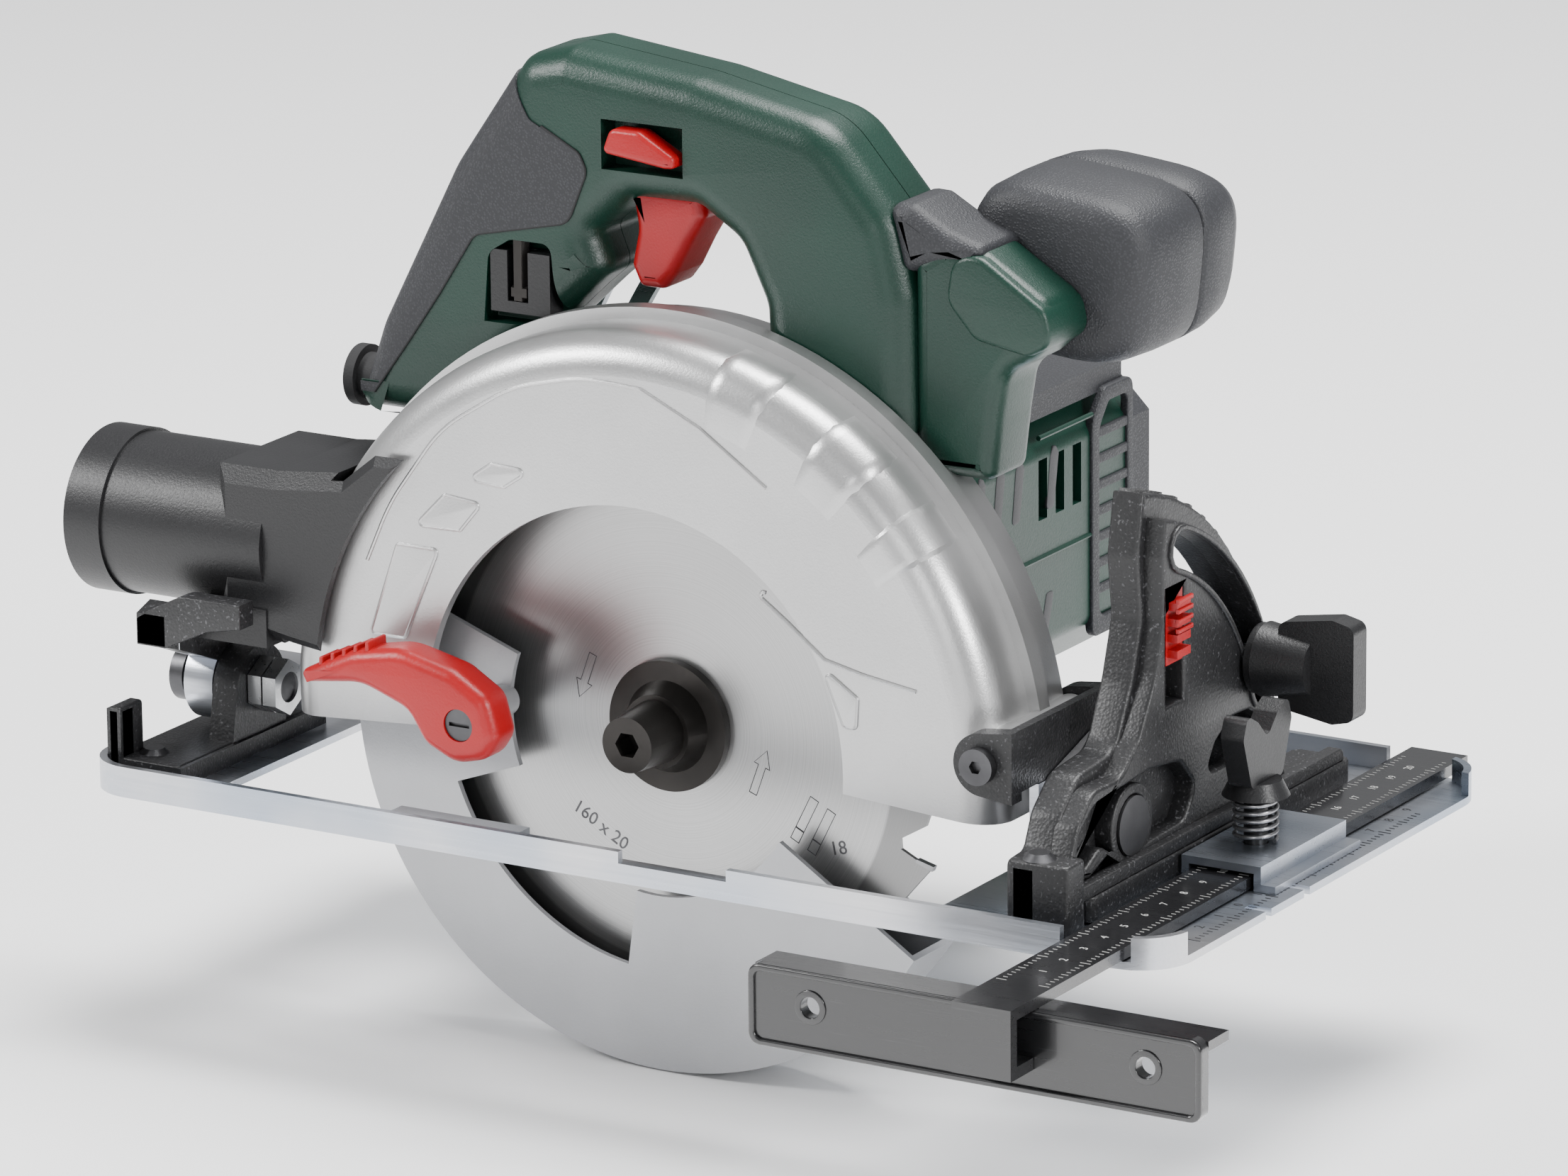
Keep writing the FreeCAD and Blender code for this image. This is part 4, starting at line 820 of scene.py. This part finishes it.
PIVOT = (-6.0, 20.0)
BRACKET = [(-45, 2.2), (75, 2.2)] + [
    (a, b) for a, b in arc(PIVOT[0], PIVOT[1], 80.8, 6, 80)] + [
    (5, 84, 8), (7, 68, 8), (2, 53, 20), (-6, 38, 8), (-24, 36.5, 8),
    (-33, 29, 8), (-37, 20.5, 3), (-45, 20, 2)]
BRACKET_FACE = [(-43, 15, 2), (-28, 12.5, 4), (-18, 16, 4), (-8, 10, 4), (74, 10, 2)] + [
    (a, b) for a, b in arc(PIVOT[0], PIVOT[1], 75, 8, 78)] + [
    (8.2, 84, 4), (9, 68, 8), (5, 54, 20), (-3, 41, 8), (-12, 33.5, 8),
    (-26, 34, 8), (-34, 27, 6), (-38, 18, 3)]
WINDOW = [(31, 23, 2), (62, 23, 2), (63, 29, 3), (54, 34, 3), (44, 34.5, 4), (36, 30, 4)]
POCKET = [(-35, 17, 3), (-33, 25, 5), (-26, 30, 5), (-14, 31, 5), (2, 32, 6), (18, 30, 6), (26, 22, 4),
          (20, 14, 3), (-12, 13, 4), (-22, 19, 4), (-30, 15, 3)]


def slot_outline(radius, half, first, last):
    """Outline of a curved slot about the bevel pivot, with round ends."""
    points = arc(PIVOT[0], PIVOT[1], radius + half, first, last)
    end = arc(0, 0, half, last, last + 180, 6)
    start = arc(0, 0, half, first + 180, first + 360, 6)
    (top, low) = [
        (PIVOT[0] + radius * math.cos(math.radians(turn)), PIVOT[1] + radius * math.sin(math.radians(turn)))
        for turn in (last, first)]
    points += [(top[0] + a, top[1] + b) for a, b in end]
    points += arc(PIVOT[0], PIVOT[1], radius - half, last, first)
    points += [(low[0] + a, low[1] + b) for a, b in start]
    return points


class SAW_OT_bevel_bracket(bpy.types.Operator):
    """Front casting with its slot, window, pocket and stop seat, and the ridges on its rim"""

    bl_idname = "saw.bevel_bracket"
    bl_label = "Bevel bracket"

    def execute(self, context):
        slot = slot_outline(68.5, 4.6, 16, 70)
        seat = [(10.4, 45.5), (19.8, 45.5), (19.8, 75), (10.4, 75)]
        low, high = frame_low("front_bevel_bracket", 0), 135.0
        back = slab(context, [BRACKET, slot, WINDOW], "yz", low, 129.8, 1.3, 4)
        face = slab(context, [BRACKET_FACE, slot, WINDOW, POCKET, seat], "yz", 128, high, 1.0, 4)
        lip = slab(context, [
            slot_outline(68.5, 6.2, 16, 70), slot_outline(68.5, 4.7, 16, 70)], "yz", 134, 135.8, 0.5, 3)
        boss = slab(context, [circle(*PIVOT, 10.5), circle(*PIVOT, 7.7)], "yz", 129, 134.6, 0.6)
        foot = slab(context, [[
            (121.2, -45, 2), (138, -45, 2), (138, -35, 2), (121.2, -35, 2)]], "xy", 2.2, 20, 0.8)
        rail = slab(context, [[
            (121.2, -32, 1), (137.9, -32, 3), (137.9, 104, 3), (121.2, 104, 3)]], "xy", 2.2, 9, 0.8)
        casting = joined([back, face, lip, boss, foot, rail])
        piece(context, "bracket_casting", casting, "black_casting", "base", ("front_bevel_bracket",))
        ridges = []
        for turn in range(12, 80, 6):
            ridge = [(81.4, -0.9), (81.4, 0.9), (80.4, 1.3), (80.4, -1.3)]
            corners = []
            for radius, along in ridge:
                angle = math.radians(turn)
                corners.append((
                    PIVOT[0] + radius * math.cos(angle) - along * math.sin(angle),
                    PIVOT[1] + radius * math.sin(angle) + along * math.cos(angle)))
            ridges.append(slab(context, [corners], "yz", 122, 128.6, 0.25, 2))
        piece(context, "bracket_ridges", joined(ridges), "black_casting", "base")
        rib = slab(context, [[(-42, 9), (100, 9), (100, 12.5, 2), (-36, 12.5, 2)]], "yz", 133.5, 137.6, 0.6)
        piece(context, "bracket_rail_rib", rib, "black_casting", "base")
        return {"FINISHED"}


# ---------------------------------------------------------------- scales


class SAW_OT_scales(bpy.types.Operator):
    """Millimetre ticks and figures on the guide bar and along the plate's front edge"""

    bl_idname = "saw.scales"
    bl_label = "Scales"

    def execute(self, context):
        top = frame_high("guide_bar", 2) + 0.02
        near_edge, far_edge = 143.0, 157.0
        start, length = -88.0, 210
        rows = [
            tick_row(context, (edge, start, top), (0, 2, 0), length // 2, "scale_print", 1.2, 0.18)
            for edge in (near_edge + 1.2, far_edge - 1.2)]
        piece(context, "bar_ticks", joined(rows), "scale_print", "parallel_guide")
        figures = [
            numeral(context, str(number), 2.2, (150, start + number * 10, top), "xy", math.pi / 2, 0.1)
            for number in range(1, 21)]
        piece(context, "bar_figures", joined(figures), "scale_print", "parallel_guide")
        edge = frame_high("base_plate", 0)
        row = tick_row(context, (edge - 4.4, -30, 2.05), (0, 2, 0), 60, "dark_steel", 1.5, 0.25)
        piece(context, "plate_ticks", row, "dark_steel", "base")
        numbers = [
            numeral(context, str(abs(place) // 10), 2.6, (edge - 8.2, place, 2.03), "xy", math.pi / 2, 0.08)
            for place in range(-30, 91, 10)]
        piece(context, "plate_figures", joined(numbers), "dark_steel", "base")
        return {"FINISHED"}


# ---------------------------------------------------------------- fence


class SAW_OT_fence(bpy.types.Operator):
    """Raised border and two bolt eyes on the pressed fence"""

    bl_idname = "saw.fence"
    bl_label = "Fence"

    def execute(self, context):
        left, right = frame_low("guide_fence", 0), frame_high("guide_fence", 0)
        bottom, top = frame_low("guide_fence", 2), 2.3
        near = frame_low("guide_fence", 1)
        border = [(left, bottom, 3), (right, bottom, 3), (right, top, 3), (left, top, 3)]
        inner = [(left + 1.6, bottom + 1.6, 2), (right - 1.6, bottom + 1.6, 2), (right - 1.6, top - 1.6, 2),
                 (left + 1.6, top - 1.6, 2)]
        rim = slab(context, [border, inner], "xz", near - 0.9, near + 0.8, 0.5)
        piece(context, "fence_rim", rim, "black_paint", "parallel_guide")
        pads = []
        for hole in (97.0, 188.0):
            rings = [circle(hole, -6.5, 4.3), circle(hole, -6.5, 2.65)]
            pads.append(slab(context, rings, "xz", near - 0.4, near + 0.6, 0.2))
        piece(context, "fence_eyes", joined(pads), "black_paint", "parallel_guide")
        return {"FINISHED"}


# ---------------------------------------------------------------- motor


class SAW_OT_motor(bpy.types.Operator):
    """Vent slots shown as dark slabs of painted shade, raised lines and a grille on the front side of the
    motor
    """

    bl_idname = "saw.motor"
    bl_label = "Motor"

    def execute(self, context):
        front = frame_high("motor_housing", 0)
        # The vent slots are not cut: thin near-black slabs on the housing paint the shade inside them.
        vent_shade_slabs = []
        for y in (66, 76, 86, 104):
            vent_shade_slabs.append(slab(context, [[
                (y, 62, 1.2), (y + 4, 62, 1.2), (y + 6.5, 76, 1.2), (y + 4.5, 79, 1.2), (y + 2, 76, 1.2)]],
                "yz", front - 0.6, front + 0.15, 0.2))
            vent_shade_slabs.append(slab(context, [[
                (y - 4, 27, 1.2), (y, 27, 1.2), (y + 4, 40, 1.2), (y, 40, 1.2)]],
                "yz", front - 0.6, front + 0.15, 0.2))
        piece(context, "motor_vents", joined(vent_shade_slabs), "switch_plastic", "saw_head")
        rails = [(False, [(100, 82), (128, 82)]), (False, [(60, 48), (62, 50, 1), (128, 50)])]
        lines = raised_lines(context, rails, "yz", front, "green_plastic", 0.7)
        piece(context, "motor_ribs", lines, "green_plastic", "saw_head")
        grille = [slab(context, [
            [(127, 22, 3), (127, 80, 8), (134, 88, 3), (149, 88, 3), (149, 22, 3)],
            [(131, 27, 3), (131, 78, 6), (136, 84, 2), (146, 84, 2), (146, 27, 2)]],
            "yz", front - 1.5, front + 0.9, 0.5)]
        for height in range(33, 82, 7):
            grille.append(slab(context, [[
                (130, height, 0.6), (147, height, 0.6), (147, height + 2.6, 0.6), (130, height + 2.6, 0.6)]],
                "yz", front - 1.2, front + 0.7, 0.4))
        piece(context, "motor_grille", joined(grille), "grip_rubber", "saw_head")
        return {"FINISHED"}


# ---------------------------------------------------------------- controls


class SAW_OT_controls(bpy.types.Operator):
    """Stop slider's ribs, guard lever with its fins, trigger and lock-off button"""

    bl_idname = "saw.controls"
    bl_label = "Controls"

    def execute(self, context):
        ribs = []
        front = frame_high("bevel_stop_slider", 0)
        low, high = frame_low("bevel_stop_slider", 1), frame_high("bevel_stop_slider", 1)
        for height in (64.5, 67.0, 69.5, 72.0):
            ribs.append(slab(context, [[
                (low + 0.5, height), (high - 0.5, height),
                (high - 0.5, height + 1.1), (low + 0.5, height + 1.1)]],
                "yz", front - 0.5, front + 0.7, 0.3))
        piece(context, "slider_ribs", joined(ribs), "red_plastic", "stop_slider")
        lever = slab(context, [[
            (-27, 27, 5), (-30, 37.2, 6), (-40, 43.2, 10), (-56, 46.8, 16), (-70, 44.2, 16),
            (-86.5, 36.6, 1.6), (-84.5, 33.8, 1.6), (-68, 36, 16), (-54, 31, 8), (-49, 23, 7),
            (-40, 18.8, 8), (-31, 21, 7)]],
            "xz", -41.2, -29.2, 3.4, 5)
        seat = slab(context, [circle(-38, 29.5, 4.25)], "xz", -43, -38.0, 0.1)
        lever = combine(context, lever, seat, "DIFFERENCE")
        piece(context, "lever_body", lever, "red_plastic", "swing_guard", ("guard_lever",))
        fins = []
        for x in (-80, -76.5, -73, -69.5, -66):
            lift = 37.4 + (x + 84) * 0.42
            fins.append(slab(context, [[
                (x - 0.7, lift - 2.2, 0.4), (x + 0.7, lift - 2.2, 0.4), (x + 0.5, lift + 2.0, 0.4),
                (x - 0.5, lift + 2.0, 0.4)]], "xz", -39.4, -31, 0.35))
        piece(context, "lever_fins", joined(fins), "red_plastic", "swing_guard")
        trigger = slab(context, [[
            (-19, 159.5, 1), (2, 159.5, 3), (3, 153, 3), (-2, 145, 8), (-6, 137.5, 4), (-9.5, 133, 2.5),
            (-16.5, 133, 2.5), (-19, 138.5, 3), (-17, 148, 8)]], "xz", 12, 29, 3.2, 5)
        piece(context, "trigger_body", trigger, "red_plastic", "trigger", ("trigger",))
        button = slab(context, [[
            (-21, 169, 1.5), (-18.5, 175.4, 2.5), (-10, 175.4, 3),
            (0, 169.8, 1.5), (0, 167, 1), (-3, 166.8, 1)]],
            "xz", 2.6, 9.3, 1.3, 4)
        piece(context, "lock_off_body", button, "red_plastic", "lock_off", ("lock_off_button",))
        return {"FINISHED"}


class SAW_OT_rear_bracket(bpy.types.Operator):
    """Foot of the rear bracket and the arch that tilts over it"""

    bl_idname = "saw.rear_bracket"
    bl_label = "Rear bracket"

    def execute(self, context):
        block = slab(context, [[(-142.6, -44.5, 1), (-138.4, -44.5, 1), (-138.4, -34, 1), (-142.6, -34, 1)]],
                     "xy", 2.2, 20.4, 1.0, 4)
        shelf = slab(context, [[(-142.6, -44.4, 2), (-121, -44.4, 2), (-121, 21.8, 2), (-142.6, 21.8, 2)]],
                     "xy", 2.2, 7.3, 0.9, 4)
        piece(context, "rear_foot", joined([block, shelf]), "black_casting", "base")
        arm = slab(context, [[
            (-137.75, 35.9), (-128.8, 35.9), (-116, 41.85), (-105.85, 43.85), (-105.85, 50.2),
            (-124, 50.2, 8), (-134, 45.3, 4), (-137.75, 43)]], "xz", -37.2, -30.8, 0.35, 3)
        web = slab(context, [[
            (-11.5, 25.9), (-31, 33.9), (-31, 35.9), (-37.2, 35.9), (-37.2, 44.2), (-31, 46.3), (-20, 38.3),
            (-6, 30.3)]], "yz", -137.75, -128.65, 0.35, 3)
        piece(context, "rear_arch", joined([arm, web]), "black_casting", "tilt_frame")
        return {"FINISHED"}


# ---------------------------------------------------------------- settings


class SawFinishSettings(bpy.types.PropertyGroup):
    """Colours that a user would change."""

    body_colour: FloatVectorProperty(
        name="Body", description="Green of the moulded housings", subtype="COLOR", size=3,
        default=(0.0018, 0.027, 0.0165))
    grip_colour: FloatVectorProperty(
        name="Grips", description="Dark grey of the soft grips", subtype="COLOR", size=3,
        default=(0.026, 0.027, 0.031))
    control_colour: FloatVectorProperty(
        name="Controls", description="Red of the levers and the trigger", subtype="COLOR", size=3,
        default=(0.36, 0.002, 0.005))
    cast_colour: FloatVectorProperty(
        name="Upper guard", description="Silver of the castings", subtype="COLOR", size=3,
        default=(0.56, 0.56, 0.56))
    guard_colour: FloatVectorProperty(
        name="Lower guard", description="Grey of the swinging guard", subtype="COLOR", size=3,
        default=(0.42, 0.425, 0.44))
    plate_colour: FloatVectorProperty(
        name="Base plate", description="Bluish zinc of the pressed sheet", subtype="COLOR", size=3,
        default=(0.42, 0.48, 0.57))


class SawStageSettings(bpy.types.PropertyGroup):
    """Where the camera stands, where it looks and how long its lens is."""

    azimuth: FloatProperty(
        name="Azimuth", description="Camera turned this far from the saw's right side towards its front",
        subtype="ANGLE", default=math.radians(30.96))
    elevation: FloatProperty(
        name="Elevation", description="Camera raised this far above the level", subtype="ANGLE",
        default=math.radians(15.73))
    roll: FloatProperty(name="Roll", description="Camera tilt", subtype="ANGLE", default=math.radians(-0.56))
    distance: FloatProperty(
        name="Distance", description="Camera to the aim point", subtype="DISTANCE", default=2.3161)
    aim: FloatVectorProperty(
        name="Aim", description="Point that the camera looks at", subtype="TRANSLATION", size=3,
        default=(0.0193, 0.0222, 0.0574))
    lens: FloatProperty(name="Lens", description="Focal length in millimetres", default=211.6)


# ---------------------------------------------------------------- operators


class SAW_OT_frame_finishes(bpy.types.Operator):
    """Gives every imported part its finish"""

    bl_idname = "saw.frame_finishes"
    bl_label = "Part finishes"

    def execute(self, context):
        for row in frame["record"]["subparts"]:
            part = frame["nodes"][row["node"]]
            part.data.materials.clear()
            part.data.materials.append(finish(row["material_slot"]))
        return {"FINISHED"}


class SAW_OT_stage(bpy.types.Operator):
    """Sets the floor, the lamps and the camera"""

    bl_idname = "saw.stage"
    bl_label = "Stage"

    def execute(self, context):
        settings = context.scene.saw_stage
        make_floor()
        make_lamps(context)
        make_camera(context, settings)
        return {"FINISHED"}


def make_floor():
    """A wide pale sheet under the lowest point of the guard."""
    low = CAD_BOX[0][2] - 0.0005
    reach = 6.0
    mesh = bpy.data.meshes.new("floor")
    corners = [(-reach, -reach, low), (reach, -reach, low), (reach, reach, low), (-reach, reach, low)]
    mesh.from_pydata(corners, [], [(0, 1, 2, 3)])
    shader = Shader("floor_paper", Roughness=0.9)
    cloud = shader.noise(shader.place(), 3.0, 2.0)
    shader.colour(shader.blend(cloud, (0.93, 0.93, 0.93, 1), (0.95, 0.95, 0.95, 1)))
    mesh.materials.append(shader.material)
    link(bpy.context, "floor", mesh)


def make_lamps(context):
    world = bpy.data.worlds.new("studio")
    world.use_nodes = True
    world.node_tree.nodes["Background"].inputs["Color"].default_value = (0.97, 0.98, 1.0, 1)
    world.node_tree.nodes["Background"].inputs["Strength"].default_value = 0.34
    context.scene.world = world
    lamps = (
        ("lamp_left", (-1.3, -1.0, 1.2), 0.6, 36.0),
        ("lamp_right", (1.7, -0.3, 0.8), 0.4, 22.0),
        ("lamp_top", (0.2, 0.5, 1.8), 1.1, 76.0),
        ("lamp_front", (0.8, -2.4, 0.7), 0.7, 10.0),
    )
    for name, spot, size, power in lamps:
        light = bpy.data.lights.new(name, "AREA")
        light.size = size
        light.energy = power
        lamp = bpy.data.objects.new(name, light)
        lamp.location = spot
        lamp.rotation_euler = (Vector((0, 0, 0.05)) - lamp.location).to_track_quat("-Z", "Y").to_euler()
        context.collection.objects.link(lamp)


def make_camera(context, settings):
    lens = bpy.data.cameras.new("camera")
    lens.sensor_width = 36.0
    lens.lens = settings.lens
    lens.clip_end = 20.0
    camera = bpy.data.objects.new("camera", lens)
    context.collection.objects.link(camera)
    level = math.cos(settings.elevation)
    back = Vector((
        math.sin(settings.azimuth) * level,
        -math.cos(settings.azimuth) * level,
        math.sin(settings.elevation),
    ))
    turn = back.to_track_quat("Z", "Y").to_matrix().to_4x4()
    spot = Matrix.Translation(Vector(settings.aim) + back * settings.distance)
    camera.matrix_world = spot @ turn @ Matrix.Rotation(settings.roll, 4, "Z")
    context.scene.camera = camera


def make_finishes(colours):
    """The finish of each material slot in the record."""
    black = (0.010, 0.010, 0.011)
    steel = (0.62, 0.63, 0.64)
    return {
        "zinc_sheet": rolled_zinc("zinc_sheet", colours.plate_colour),
        "black_casting": grained_casting("black_casting", black),
        "dark_steel": turned_steel("dark_steel", (0.10, 0.10, 0.105), 0.4),
        "black_oxide": turned_steel("black_oxide", (0.035, 0.032, 0.03), 0.34, 0.75),
        "zinc_fastener": turned_steel("zinc_fastener", steel),
        "spring_steel": turned_steel("spring_steel", (0.34, 0.34, 0.35)),
        "grey_plastic": moulded_plastic("grey_plastic", (0.20, 0.21, 0.225)),
        "black_paint": gloss_paint("black_paint", (0.008, 0.008, 0.009)),
        "black_plastic": moulded_plastic("black_plastic", black, 0.42, 0.0006, 0.00007),
        "black_rubber": moulded_plastic("black_rubber", black, 0.7),
        "red_plastic": moulded_plastic("red_plastic", colours.control_colour, 0.38, 0.0006, 0.00006),
        "cast_silver": die_cast("cast_silver", colours.cast_colour),
        "grey_guard": die_cast("grey_guard", colours.guard_colour, 0.42, 0.6),
        "green_plastic": moulded_plastic("green_plastic", colours.body_colour, 0.40, 0.0006, 0.00008),
        "grip_rubber": soft_grip("grip_rubber", colours.grip_colour),
        "switch_plastic": moulded_plastic("switch_plastic", (0.03, 0.03, 0.033)),
        "brass_parts": turned_steel("brass_parts", (0.72, 0.5, 0.2)),
        "copper_parts": wound_wire("copper_parts", (0.75, 0.33, 0.17)),
        "lamination_steel": wound_wire("lamination_steel", (0.32, 0.31, 0.3)),
        "bearing_steel": turned_steel("bearing_steel", steel, 0.22),
        "blade_steel": ground_blade("blade_steel", (0.46, 0.46, 0.46), 0.064),
        "scale_print": moulded_plastic("scale_print", (0.40, 0.40, 0.39), 0.5),
        "carbide": turned_steel("carbide", (0.30, 0.30, 0.31), 0.35),
    }


# ---------------------------------------------------------------- panel and start

OPERATORS = (
    SAW_OT_frame_finishes, SAW_OT_handle, SAW_OT_front_grip, SAW_OT_guard_relief, SAW_OT_blade_marks,
    SAW_OT_bevel_bracket, SAW_OT_scales, SAW_OT_fence, SAW_OT_motor, SAW_OT_controls, SAW_OT_rear_bracket,
    SAW_OT_stage)


class SAW_PT_panel(bpy.types.Panel):
    """Lists the saw's settings and steps"""

    bl_idname = "SAW_PT_panel"
    bl_label = "Saw"
    bl_space_type = "VIEW_3D"
    bl_region_type = "UI"
    bl_category = "Saw"

    def draw(self, context):
        for group in (context.scene.saw_finish, context.scene.saw_stage):
            for name in group.bl_rna.properties.keys():
                if name not in ("rna_type", "name"):
                    self.layout.prop(group, name)
        for operator in OPERATORS:
            self.layout.operator(operator.bl_idname)


CLASSES = (SawFinishSettings, SawStageSettings, *OPERATORS, SAW_PT_panel)


def register():
    for made in CLASSES:
        bpy.utils.register_class(made)
    bpy.types.Scene.saw_finish = PointerProperty(type=SawFinishSettings)
    bpy.types.Scene.saw_stage = PointerProperty(type=SawStageSettings)


def unregister():
    del bpy.types.Scene.saw_stage
    del bpy.types.Scene.saw_finish
    for made in reversed(CLASSES):
        bpy.utils.unregister_class(made)


def main():
    register()
    for operator in OPERATORS:
        group, name = operator.bl_idname.split(".")
        getattr(getattr(bpy.ops, group), name)()


if __name__ == "__main__":
    main()
